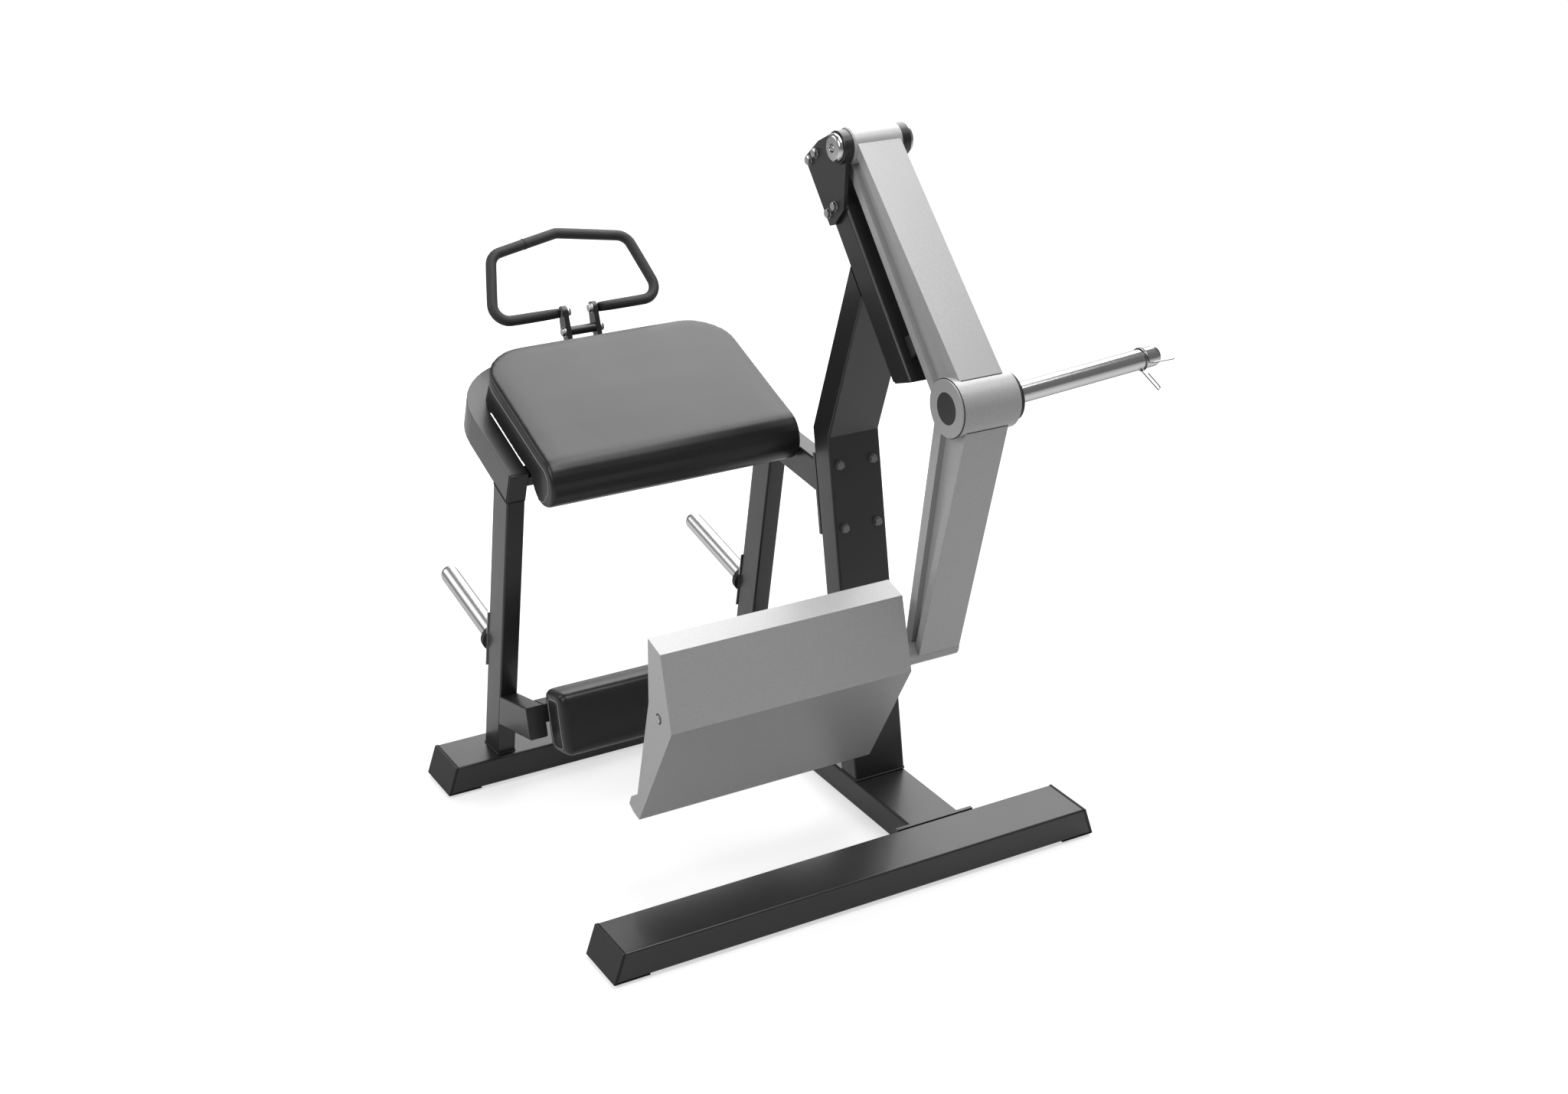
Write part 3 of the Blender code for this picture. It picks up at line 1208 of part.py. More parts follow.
def pad_section(x, inset):
    # Side-view loop of the cushion at one place across it, shrunk by the edge's inset
    half = pad_width / 2
    back = pad_back_edge(x, half, PAD_BACK, PAD_CORNER) - inset
    crown = PAD_CROWN * (1 - (x / half) ** 2)
    soft = PAD_SOFT_EDGE
    top = PAD_TOP - inset
    bottom = GAP + BOARD_THICKNESS - CROSS_TOP + GAP
    centre = (-PAD_ROLL_FORWARD, PAD_TOP - PAD_ROLL_RADIUS)
    radius = PAD_ROLL_RADIUS - inset
    board_front = board_front_edge()
    roll_end = -acos(min((board_front - GAP - centre[0]) / radius, 1))
    points = arc(centre, radius, pi / 2, roll_end + 2 * pi, 16)
    underside = -CROSS_TOP + GAP
    points.append((board_front - GAP, max(underside, points[-1][1])))
    points.append((board_front - GAP, bottom))
    points.append((back, bottom))
    draw = PAD_SIDE_DRAW
    middle = (bottom + top) / 2
    points.append((back - draw, middle))
    points += arc((back - soft, top - soft), soft, 0, pi / 2, 4)
    for share in (0.75, 0.5, 0.25):
        along = -PAD_ROLL_FORWARD + (back - soft + PAD_ROLL_FORWARD) * share
        points.append((along, top + crown * sin(pi * share)))
    return points


def board_front_edge():
    # Where the front roll's circle passes the board's underside
    drop = PAD_TOP - PAD_ROLL_RADIUS + CROSS_TOP
    return -PAD_ROLL_FORWARD + sqrt(PAD_ROLL_RADIUS ** 2 - drop ** 2) + 0.001


def pad_stations(half, soft):
    # Places across a cushion and the inset of its outline there: rounded edges, then plain shares
    quarter = [pi / 2 * step / 4 for step in range(5)]
    edge = [(soft * (1 - cos(angle)), soft * (1 - sin(angle))) for angle in quarter]
    shares = (0.15, 0.45, 0.68, 0.76, 0.84, 0.91, 0.955)
    flat = [half * share for share in shares if half * share < half - 1.4 * soft]
    left = [(step - half, inset) for step, inset in edge] + [(-x, 0.0) for x in reversed(flat)]
    return left + [(-x, inset) for x, inset in reversed(left)]


def chest_pad():
    half = pad_width / 2
    middle_x = seat_x + PAD_OFFSET
    loops = []
    for x, inset in pad_stations(half, PAD_SOFT_EDGE):
        loops.append([(x, along, up) for along, up in pad_section(x, inset)])
    origin = in_space(on_rail(0, 0), middle_x)
    add("torso_pad", loft_mesh("torso_pad", loops), UPHOLSTERY, origin, rail_turn())
    board_half = half - PAD_SOFT_EDGE - BOARD_INSET
    corner = PAD_CORNER - BOARD_INSET
    back = PAD_BACK - PAD_SOFT_EDGE - BOARD_INSET
    front = board_front_edge()
    outline = [
        (-board_half, front), (board_half, front),
        *arc((board_half - corner, back - corner), corner, 0, pi / 2, 8),
        *arc((corner - board_half, back - corner), corner, pi / 2, pi, 8),
    ]
    middle = on_rail(0, GAP - CROSS_TOP + BOARD_THICKNESS / 2)
    board = flat_mesh("torso_board", outline, BOARD_THICKNESS)
    add("torso_board", board, PLYWOOD, in_space(middle, middle_x), rail_turn())


# Handle behind the pad: two links on the rail, a cross bar and the bent loop
def handle():
    joint = on_rail(HANDLE_ALONG, HANDLE_UP)
    top = at(joint, (1, 0), HANDLE_LINK_BEHIND)
    front_edge = lean_back(HANDLE_LINK_FRONT_LEAN)
    rear_edge = lean_back(HANDLE_LINK_REAR_LEAN)
    front_top = at(top, front_of(front_edge), HANDLE_LINK_CREST)
    rear_top = at(top, front_of(rear_edge), -HANDLE_LINK_CREST)
    middle_top = at(top, (front_edge + rear_edge).normalized(), HANDLE_LINK_CREST)
    front_foot = meet(front_top, front_edge, on_rail(0, GAP), rail_back)
    rear_foot = on_rail(RAIL_LENGTH - HANDLE_LINK_REAR_FOOT, GAP)
    crest = arc_between(top, front_top, middle_top, 6) + arc_between(top, middle_top, rear_top, 6)[1:]
    outline = [rear_foot, front_foot, *crest, at(rear_top, rear_edge, -HANDLE_LINK_REAR_EDGE)]
    middle_x = seat_x + HANDLE_OFFSET
    middle = HANDLE_LINK_SPREAD / 2 - HANDLE_LINK_THICKNESS / 2
    for side, sign in side_sign.items():
        x = middle_x + sign * middle
        side_piece("handle_link_" + side, outline, HANDLE_LINK_THICKNESS, x, CHARCOAL, edge=HANDLE_LINK_EDGE)
    inner_face = HANDLE_LINK_SPREAD / 2 - HANDLE_LINK_THICKNESS - GAP
    cross = in_space(on_rail(HANDLE_CROSS_ALONG, HANDLE_CROSS_UP), middle_x)
    cross_profile = disc_profile(HANDLE_TUBE_RADIUS, -inner_face, inner_face)
    turned("handle_cross_bar", cross_profile, CHARCOAL, cross, ALONG_X, SMALL_STEPS)
    handle_loop(joint, middle_x)


def rounded_path(corners, radius, steps):
    # Fillets every inner corner of an open path
    points = [Vector(corners[0])]
    for before, here, after in zip(corners, corners[1:], corners[2:]):
        here = Vector(here)
        back = (Vector(before) - here).normalized()
        ahead = (Vector(after) - here).normalized()
        half_angle = acos(max(-1, min(1, back.dot(ahead)))) / 2
        reach = radius / tan(half_angle)
        centre = here + (back + ahead).normalized() * radius / sin(half_angle)
        points += [Vector(p) for p in arc_between(centre, here + back * reach, here + ahead * reach, steps)]
    points.append(Vector(corners[-1]))
    return points


def handle_loop(joint, middle_x):
    end = HANDLE_LINK_SPREAD / 2 + GAP
    half = [(end, 0), (HANDLE_HALF_WIDTH, 0), (HANDLE_HALF_TOP, HANDLE_RISE), (0, HANDLE_PEAK)]
    corners = half + [(-x, up) for x, up in reversed(half[:-1])]
    lean = lean_back(HANDLE_LEAN)
    path = [in_space(at(joint, lean, up), middle_x + x) for x, up in rounded_path(corners, HANDLE_BEND, 7)]
    bar("handle_loop", path, HANDLE_TUBE_RADIUS, GRIP, 4)


# Knee rest: brackets forward from the legs, a cross tube and the low pad
def knee_rest():
    forward = Vector((-cos(KNEE_BRACKET_RISE), sin(KNEE_BRACKET_RISE)))
    up = Vector((sin(KNEE_BRACKET_RISE), cos(KNEE_BRACKET_RISE)))
    root = meet((0, KNEE_BRACKET_HEIGHT), (1, 0), leg_front_foot, leg_up)
    tip = at(root, forward, KNEE_BRACKET_LENGTH)
    planes = ((at(leg_front_foot, leg_front, GAP), -leg_front), (tip, forward))
    for side, x in leg_x.items():
        tube("knee_bracket_" + side, root, tip, x, SIDE_WIDTH, SIDE_DEPTH, SIDE_CORNER, CHARCOAL, planes)
    face_top = at(tip, up, SIDE_DEPTH / 2)
    turn = (-KNEE_BRACKET_RISE, 0, 0)
    cross_length = between_legs - 2 * GAP
    cross_middle = at(at(face_top, forward, -KNEE_CROSS_DEPTH / 2), up, -KNEE_CROSS_HEIGHT / 2)
    cross_size = (cross_length, KNEE_CROSS_DEPTH, KNEE_CROSS_HEIGHT)
    cross = box_mesh("knee_cross_tube", cross_size, SIDE_CORNER, long_axis=0)
    add("knee_cross_tube", cross, CHARCOAL, in_space(cross_middle, seat_x), turn)
    loops = []
    half = knee_pad_width / 2
    for x, inset in pad_stations(half, KNEE_PAD_EDGE):
        loops.append([(x, -away, height) for away, height in knee_section(x / half, inset)])
    origin = at(at(face_top, forward, GAP), up, KNEE_PAD_ABOVE - KNEE_PAD_HEIGHT / 2)
    add("knee_pad", loft_mesh("knee_pad", loops), UPHOLSTERY, in_space(origin, seat_x), turn)


def knee_section(share, inset):
    # Loop of the knee cushion: away from its flat back, and up from its middle
    crown = KNEE_PAD_CROWN * (1 - share ** 2)
    edge = KNEE_PAD_EDGE
    front = KNEE_PAD_THICKNESS - inset
    half = KNEE_PAD_HEIGHT / 2 - inset
    points = [(0, -half)]
    points += arc((front - edge, edge - half), edge, -pi / 2, 0, 4)
    points += [(front + crown * sin(pi * k / 4), (half - edge) * (k / 2 - 1)) for k in (1, 2, 3)]
    points += arc((front - edge, half - edge), edge, 0, pi / 2, 4)
    points.append((0, half))
    return points


# Plate storage on the backs of the legs: a wear plate with the horn welded square to it
def storage():
    leg_back = at(leg_foot, leg_front, -SIDE_DEPTH / 2)
    low = meet((0, WEAR_PLATE_LOW), (1, 0), leg_back, leg_up)
    high = meet((0, WEAR_PLATE_HIGH), (1, 0), leg_back, leg_up)
    plate_middle = at((low + high) / 2, leg_front, -WEAR_PLATE_THICKNESS / 2 - GAP)
    plate_size = (SIDE_WIDTH + 2 * WEAR_PLATE_MARGIN, WEAR_PLATE_THICKNESS, (high - low).length)
    weld_face = at(leg_back, leg_front, -WEAR_PLATE_THICKNESS / 2 - GAP)
    root = meet((0, STORAGE_HEIGHT), (1, 0), weld_face, leg_up)
    collar_root = at(root, leg_front, -WEAR_PLATE_THICKNESS / 2 - GAP)
    turn = (LEG_LEAN - pi / 2, 0, 0)
    for side, x in leg_x.items():
        name = "storage_horn_" + side
        plate_place = in_space(plate_middle, x)
        plate = add(name, box_mesh(name, plate_size), CHROME, plate_place, (LEG_LEAN, 0, 0))
        horn = horn_mesh("horn", HORN_RADIUS, STORAGE_HORN_LENGTH)
        join(plate, add("horn_" + side, horn, None, in_space(root, x), turn))
        ring = collar_mesh("collar", HORN_RADIUS + GAP, STORAGE_COLLAR_RADIUS, STORAGE_COLLAR_LENGTH)
        add("storage_collar_" + side, ring, RUBBER, in_space(collar_root, x), turn)


# Joints: the arm on its pivot, the foot plate on the pedal tube, the collar along the horn
MOVING = {
    "arm_axis": ("pivot_hub", "pivot_shaft", "upper_arm", "elbow_tube", "elbow_plug", "lower_arm",
                 "pedal_tube", "weight_horn", "horn_collar"),
    "foot_axis": ("foot_shell", "foot_tread", "foot_bush_left", "foot_bush_right"),
    "collar_axis": ("spring_collar",),
}


def axis_empty(name, place, parent, parent_place):
    empty = bpy.data.objects.new(name, None)
    machine.objects.link(empty)
    empty.parent = parent
    empty.location = Vector(place) - Vector(parent_place)
    return empty


def assemble():
    pieces = [obj for obj in machine.objects if obj.type == "MESH"]
    root = axis_empty("machine_frame", (0, 0, 0), None, (0, 0, 0))
    places = {
        "arm_axis": in_space(pivot, MAST_OFFSET),
        "foot_axis": in_space(pedal, seat_x),
        "collar_axis": bpy.data.objects["spring_collar"].location.copy(),
    }
    arm = axis_empty("arm_axis", places["arm_axis"], root, (0, 0, 0))
    foot = axis_empty("foot_axis", places["foot_axis"], arm, places["arm_axis"])
    collar = axis_empty("collar_axis", places["collar_axis"], arm, places["arm_axis"])
    carriers = {"arm_axis": arm, "foot_axis": foot, "collar_axis": collar}
    carrier_of = {piece: axis for axis, names in MOVING.items() for piece in names}
    for obj in pieces:
        axis = carrier_of.get(obj.name)
        obj.parent = carriers.get(axis, root)
        if axis:
            obj.location = obj.location - places[axis]
    centre_on_floor(root, pieces)


def centre_on_floor(root, pieces):
    # The model's origin is the middle of the underside of the box round the whole machine
    bpy.context.view_layer.update()
    graph = bpy.context.evaluated_depsgraph_get()
    points = []
    for obj in pieces:
        shape = obj.evaluated_get(graph)
        mesh = shape.to_mesh()
        points += [shape.matrix_world @ vertex.co for vertex in mesh.vertices]
        shape.to_mesh_clear()
    low = [min(point[axis] for point in points) for axis in range(3)]
    high = [max(point[axis] for point in points) for axis in range(3)]
    root.location = (-(low[0] + high[0]) / 2, -(low[1] + high[1]) / 2, -low[2])
    for cutter in cutters.objects:
        cutter.parent = root
    bpy.context.view_layer.update()


base()
mast()
boom()
top_pivot()
hub()
upper_arm()
lower_arm()
elbow_joint()
pedal_tube()
weight_horn()
spring_collar()
foot_shell()
foot_tread()
foot_bushes()
legs()
pad_rail()
pad_cross_members()
link()
chest_pad()
handle()
knee_rest()
storage()
assemble()
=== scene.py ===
import json
import math

import bmesh
import bpy
import numpy as np
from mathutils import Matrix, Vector
from mathutils.bvhtree import BVHTree

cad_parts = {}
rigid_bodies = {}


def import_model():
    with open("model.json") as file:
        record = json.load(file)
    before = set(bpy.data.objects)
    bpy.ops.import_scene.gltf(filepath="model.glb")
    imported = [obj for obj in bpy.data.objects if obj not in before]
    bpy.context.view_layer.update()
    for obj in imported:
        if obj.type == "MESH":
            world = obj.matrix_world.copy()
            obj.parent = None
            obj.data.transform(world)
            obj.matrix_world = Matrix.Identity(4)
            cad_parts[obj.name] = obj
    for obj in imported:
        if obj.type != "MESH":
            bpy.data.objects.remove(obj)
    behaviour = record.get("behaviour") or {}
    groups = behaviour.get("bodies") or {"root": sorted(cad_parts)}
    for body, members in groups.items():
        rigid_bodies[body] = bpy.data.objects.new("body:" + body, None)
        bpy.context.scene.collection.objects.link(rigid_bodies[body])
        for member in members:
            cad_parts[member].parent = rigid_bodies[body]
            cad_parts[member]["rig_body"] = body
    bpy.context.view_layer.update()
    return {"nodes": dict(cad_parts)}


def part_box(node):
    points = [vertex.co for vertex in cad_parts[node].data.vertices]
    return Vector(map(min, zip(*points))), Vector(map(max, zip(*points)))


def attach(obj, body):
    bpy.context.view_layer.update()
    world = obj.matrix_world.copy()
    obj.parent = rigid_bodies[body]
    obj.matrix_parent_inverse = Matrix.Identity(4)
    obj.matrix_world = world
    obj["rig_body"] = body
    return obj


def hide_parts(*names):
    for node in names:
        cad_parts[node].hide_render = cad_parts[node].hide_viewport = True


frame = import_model()
nodes = frame["nodes"]
print("packed model loaded:", len(nodes), "nodes")

across = np.array([1.0, 0.0, 0.0])
upward = np.array([0.0, 0.0, 1.0])
samePlace = 1e-6  # points nearer than this are one


# Meshes
def gridMesh(name, points, wrapRows=False, wrapColumns=True, capped=False, smoothBelow=35):
    # A surface on a grid of points [row, column]: a quad between every four neighbours, rows or columns
    # joined round where they wrap, and a flat face over the first and last row where it is capped
    points = np.asarray(points, float)
    rows, columns = points.shape[:2]
    index = np.arange(rows * columns).reshape(rows, columns)
    loops = np.vstack([index, index[:1]]) if wrapRows else index
    loops = np.hstack([loops, loops[:, :1]]) if wrapColumns else loops
    quads = np.stack([loops[:-1, :-1], loops[1:, :-1], loops[1:, 1:], loops[:-1, 1:]], -1).reshape(-1, 4)
    faces = quads.tolist()
    if capped:
        faces += [index[0].tolist(), index[-1][::-1].tolist()]
    mesh = bpy.data.meshes.new(name)
    mesh.from_pydata(points.reshape(-1, 3).tolist(), [], faces)
    finishMesh(mesh, smoothBelow)
    return mesh


def finishMesh(mesh, smoothBelow):
    # Merges doubles, turns the faces outwards, and shades smooth across edges flatter than the angle
    bm = bmesh.new()
    bm.from_mesh(mesh)
    bmesh.ops.remove_doubles(bm, verts=bm.verts, dist=samePlace)
    bmesh.ops.recalc_face_normals(bm, faces=bm.faces)
    bm.to_mesh(mesh)
    bm.free()
    mesh.shade_smooth()
    mesh.set_sharp_from_angle(angle=math.radians(smoothBelow))


def mergedCopy(node, name, flatWithin=None):
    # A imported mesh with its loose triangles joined; where an angle is given, its flat faces become one each
    mesh = nodes[node].data.copy()
    mesh.name = name
    if "custom_normal" in mesh.attributes:
        mesh.attributes.remove(mesh.attributes["custom_normal"])
    bm = bmesh.new()
    bm.from_mesh(mesh)
    bmesh.ops.remove_doubles(bm, verts=bm.verts, dist=samePlace)
    if flatWithin:
        bmesh.ops.dissolve_limit(bm, angle_limit=math.radians(flatWithin), verts=bm.verts, edges=bm.edges)
    bm.to_mesh(mesh)
    bm.free()
    return mesh


def addPiece(name, mesh, finish, body):
    piece = bpy.data.objects.new(name, mesh)
    bpy.context.scene.collection.objects.link(piece)
    mesh.materials.clear()
    mesh.materials.append(finish)
    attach(piece, body)
    return piece


def sideAxes(axis):
    # Two directions square to an axis and to each other
    axis = np.asarray(axis, float) / np.linalg.norm(axis)
    helper = upward if abs(axis[2]) < 0.9 else across
    first = np.cross(helper, axis)
    first /= np.linalg.norm(first)
    return axis, first, np.cross(axis, first)


def turnedPoints(profile, centre, axis, steps=96):
    # A profile of (radius, height) pairs turned about an axis: centre + axis * height + ring * radius
    axis, first, second = sideAxes(axis)
    profile = np.asarray(profile, float)
    angle = np.linspace(0, 2 * np.pi, steps, endpoint=False)
    ring = np.cos(angle)[:, None] * first + np.sin(angle)[:, None] * second
    return np.asarray(centre, float) + profile[:, None, 1:] * axis + profile[:, None, :1] * ring


def turnedMesh(name, profile, centre, axis, steps=96, ring=False):
    # A solid whose profile starts and ends on the axis, or a ring whose profile closes on itself
    return gridMesh(name, turnedPoints(profile, centre, axis, steps), wrapRows=ring, smoothBelow=32)


def roundCorners(profile, radius, steps=4):
    # Cuts every inner corner of an open profile with a short curve: (1-s)^2 start + 2s(1-s) corner + s^2 end
    profile = [np.asarray(point, float) for point in profile]
    share = np.linspace(0, 1, steps + 1)[:, None]
    rounded = [profile[0][None]]
    for before, here, after in zip(profile, profile[1:], profile[2:]):
        back, onward = before - here, after - here
        reach = min(radius, np.linalg.norm(back) * 0.45, np.linalg.norm(onward) * 0.45)
        start = here + back / np.linalg.norm(back) * reach
        end = here + onward / np.linalg.norm(onward) * reach
        rounded.append((1 - share) ** 2 * start + 2 * share * (1 - share) * here + share ** 2 * end)
    rounded.append(profile[-1][None])
    return np.vstack(rounded)


def sweptPoints(path, radius, steps=12, closed=False):
    # A round section carried along a path: path + radius * (cos a * side + sin a * lift)
    path = np.asarray(path, float)
    run = (np.roll(path, -1, 0) - np.roll(path, 1, 0)) if closed else np.gradient(path, axis=0)
    run /= np.linalg.norm(run, axis=1)[:, None]
    reference = upward if np.abs(run[:, 2]).max() < 0.97 else np.array([0.31, 0.83, 0.46])
    side = np.cross(run, reference)
    side /= np.linalg.norm(side, axis=1)[:, None]
    lift = np.cross(side, run)
    angle = np.linspace(0, 2 * np.pi, steps, endpoint=False)
    radius = np.broadcast_to(np.asarray(radius, float).reshape(-1, 1, 1), (len(path), 1, 1))
    ring = np.cos(angle)[None, :, None] * side[:, None] + np.sin(angle)[None, :, None] * lift[:, None]
    return path[:, None] + radius * ring


def sweptMesh(name, path, radius, steps=12, closed=False):
    points = sweptPoints(path, radius, steps, closed)
    return gridMesh(name, points, wrapRows=closed, capped=not closed, smoothBelow=50)


def hexTurnedMesh(name, rows, centre, axis, steps=96):
    # Rows of (corner radius, height, hex share) about an axis: the share of a row that is a hexagon cuts its
    # radius by cos 30 / cos(angle from the middle of the nearest side)
    axis, first, second = sideAxes(axis)
    rows = np.asarray(rows, float)
    angle = np.linspace(0, 2 * np.pi, steps, endpoint=False)
    flat = math.cos(math.pi / 6) / np.cos(np.mod(angle, np.pi / 3) - np.pi / 6)
    reach = rows[:, :1] * (1 - rows[:, 2:] * (1 - flat))
    ring = np.cos(angle)[:, None] * first + np.sin(angle)[:, None] * second
    points = np.asarray(centre, float) + rows[:, 1, None, None] * axis + reach[..., None] * ring
    return gridMesh(name, points, smoothBelow=28)


def sliceLoops(mesh, point, normal):
    # Closed outlines where a plane cuts a mesh; the cut's edges keep their order, so every run gives the same
    bm = bmesh.new()
    bm.from_mesh(mesh)
    bmesh.ops.remove_doubles(bm, verts=bm.verts, dist=samePlace)
    whole = bm.verts[:] + bm.edges[:] + bm.faces[:]
    cut = bmesh.ops.bisect_plane(bm, geom=whole, plane_co=point, plane_no=normal, dist=samePlace)
    edges = dict.fromkeys(part for part in cut["geom_cut"] if isinstance(part, bmesh.types.BMEdge))
    loops = []
    while edges:
        edge = edges.popitem()[0]
        start, here = edge.verts
        walk = [start.co.copy(), here.co.copy()]
        while here != start:
            onward = next((other for other in here.link_edges if other in edges), None)
            if onward is None:
                break
            del edges[onward]
            here = onward.other_vert(here)
            walk.append(here.co.copy())
        if here == start and len(walk) > 4:
            loops.append(np.array(walk[:-1]))
    bm.free()
    return loops


def resampled(path, spacing, closed=False):
    # Evenly spaced points along a polyline
    path = np.asarray(path, float)
    if closed:
        path = np.vstack([path, path[:1]])
    steps = np.linalg.norm(np.diff(path, axis=0), axis=1)
    along = np.concatenate([[0], np.cumsum(steps)])
    count = max(3, int(round(along[-1] / spacing)) + 1)
    places = np.linspace(0, along[-1], count)
    even = np.stack([np.interp(places, along, path[:, k]) for k in range(3)], -1)
    return even[:-1] if closed else even


# Finishes: one builder, and a dictionary for each of them
grainLook = {
    "broadScale": 6.0, "broadDetail": 2.0, "broadChange": 0.05, "fineDetail": 2.0, "fineRoughness": 0.6,
    "roughnessChange": 0.04, "cellSmoothness": 0.6, "fineShare": 0.35, "sheenRoughness": 0.4,
}


def mixedFloat(tree, factor, low, high):
    # A factor of 0 to 1 spread over a range
    spread = tree.nodes.new("ShaderNodeMapRange")
    spread.inputs["To Min"].default_value = low
    spread.inputs["To Max"].default_value = high
    tree.links.new(factor, spread.inputs["Value"])
    return spread.outputs["Result"]


def noiseOf(tree, coordinates, scale, detail=3.0, roughness=0.55):
    noise = tree.nodes.new("ShaderNodeTexNoise")
    noise.inputs["Scale"].default_value = scale
    noise.inputs["Detail"].default_value = detail
    noise.inputs["Roughness"].default_value = roughness
    tree.links.new(coordinates, noise.inputs["Vector"])
    return noise.outputs["Fac"]


def makeFinish(name, look):
    # Base colour with broad and fine variation, a varied roughness, and a grain that stands out of the face
    material = bpy.data.materials.new(name)
    material.use_nodes = True
    tree = material.node_tree
    shader = tree.nodes["Principled BSDF"]
    coordinates = tree.nodes.new("ShaderNodeTexCoord").outputs["Object"]
    if "stretch" in look:
        mapping = tree.nodes.new("ShaderNodeMapping")
        mapping.inputs["Scale"].default_value = look["stretch"]
        tree.links.new(coordinates, mapping.inputs["Vector"])
        coordinates = mapping.outputs["Vector"]
    look = {**grainLook, **look}
    broad = noiseOf(tree, coordinates, look["broadScale"], look["broadDetail"])
    fine = noiseOf(tree, coordinates, look["fineScale"], look["fineDetail"], look["fineRoughness"])
    colour, change = np.array(look["colour"]), look["broadChange"]
    base = tree.nodes.new("ShaderNodeMix")
    base.data_type = "RGBA"
    base.inputs["A"].default_value = (*(colour * (1 - change)), 1)
    base.inputs["B"].default_value = (*(colour * (1 + change)), 1)
    tree.links.new(broad, base.inputs["Factor"])
    speck = tree.nodes.new("ShaderNodeMix")
    speck.data_type = "RGBA"
    speck.blend_type = "MULTIPLY"
    speck.inputs["Factor"].default_value = 1.0
    tree.links.new(base.outputs["Result"], speck.inputs["A"])
    grain = mixedFloat(tree, fine, 1 - look["fineChange"], 1 + look["fineChange"])
    grainColour = tree.nodes.new("ShaderNodeCombineColor")
    for channel in ("Red", "Green", "Blue"):
        tree.links.new(grain, grainColour.inputs[channel])
    tree.links.new(grainColour.outputs["Color"], speck.inputs["B"])
    tree.links.new(speck.outputs["Result"], shader.inputs["Base Color"])
    rough, change = look["roughness"], look["roughnessChange"]
    tree.links.new(mixedFloat(tree, broad, rough - change, rough + change), shader.inputs["Roughness"])
    bump = tree.nodes.new("ShaderNodeBump")
    bump.inputs["Strength"].default_value = look["bump"]
    bump.inputs["Distance"].default_value = look["bumpDepth"]
    height = fine
    if "leather" in look:
        cells = tree.nodes.new("ShaderNodeTexVoronoi")
        cells.feature = "SMOOTH_F1"
        cells.inputs["Scale"].default_value = look["leather"]
        cells.inputs["Smoothness"].default_value = look["cellSmoothness"]
        tree.links.new(coordinates, cells.inputs["Vector"])
        added = tree.nodes.new("ShaderNodeMath")
        added.operation = "MULTIPLY_ADD"
        added.inputs[1].default_value = look["fineShare"]
        tree.links.new(fine, added.inputs[0])
        tree.links.new(cells.outputs["Distance"], added.inputs[2])
        height = added.outputs["Value"]
    tree.links.new(height, bump.inputs["Height"])
    tree.links.new(bump.outputs["Normal"], shader.inputs["Normal"])
    shader.inputs["Metallic"].default_value = look.get("metallic", 0.0)
    shader.inputs["Specular IOR Level"].default_value = look.get("specular", 0.5)
    shader.inputs["Coat Weight"].default_value = look.get("coat", 0.0)
    shader.inputs["Coat Roughness"].default_value = look.get("coatRoughness", 0.1)
    shader.inputs["Sheen Weight"].default_value = look.get("sheen", 0.0)
    shader.inputs["Sheen Roughness"].default_value = look["sheenRoughness"]
    shader.inputs["Specular Tint"].default_value = (*(look.get("edgeTint", 1.0),) * 3, 1)
    return material


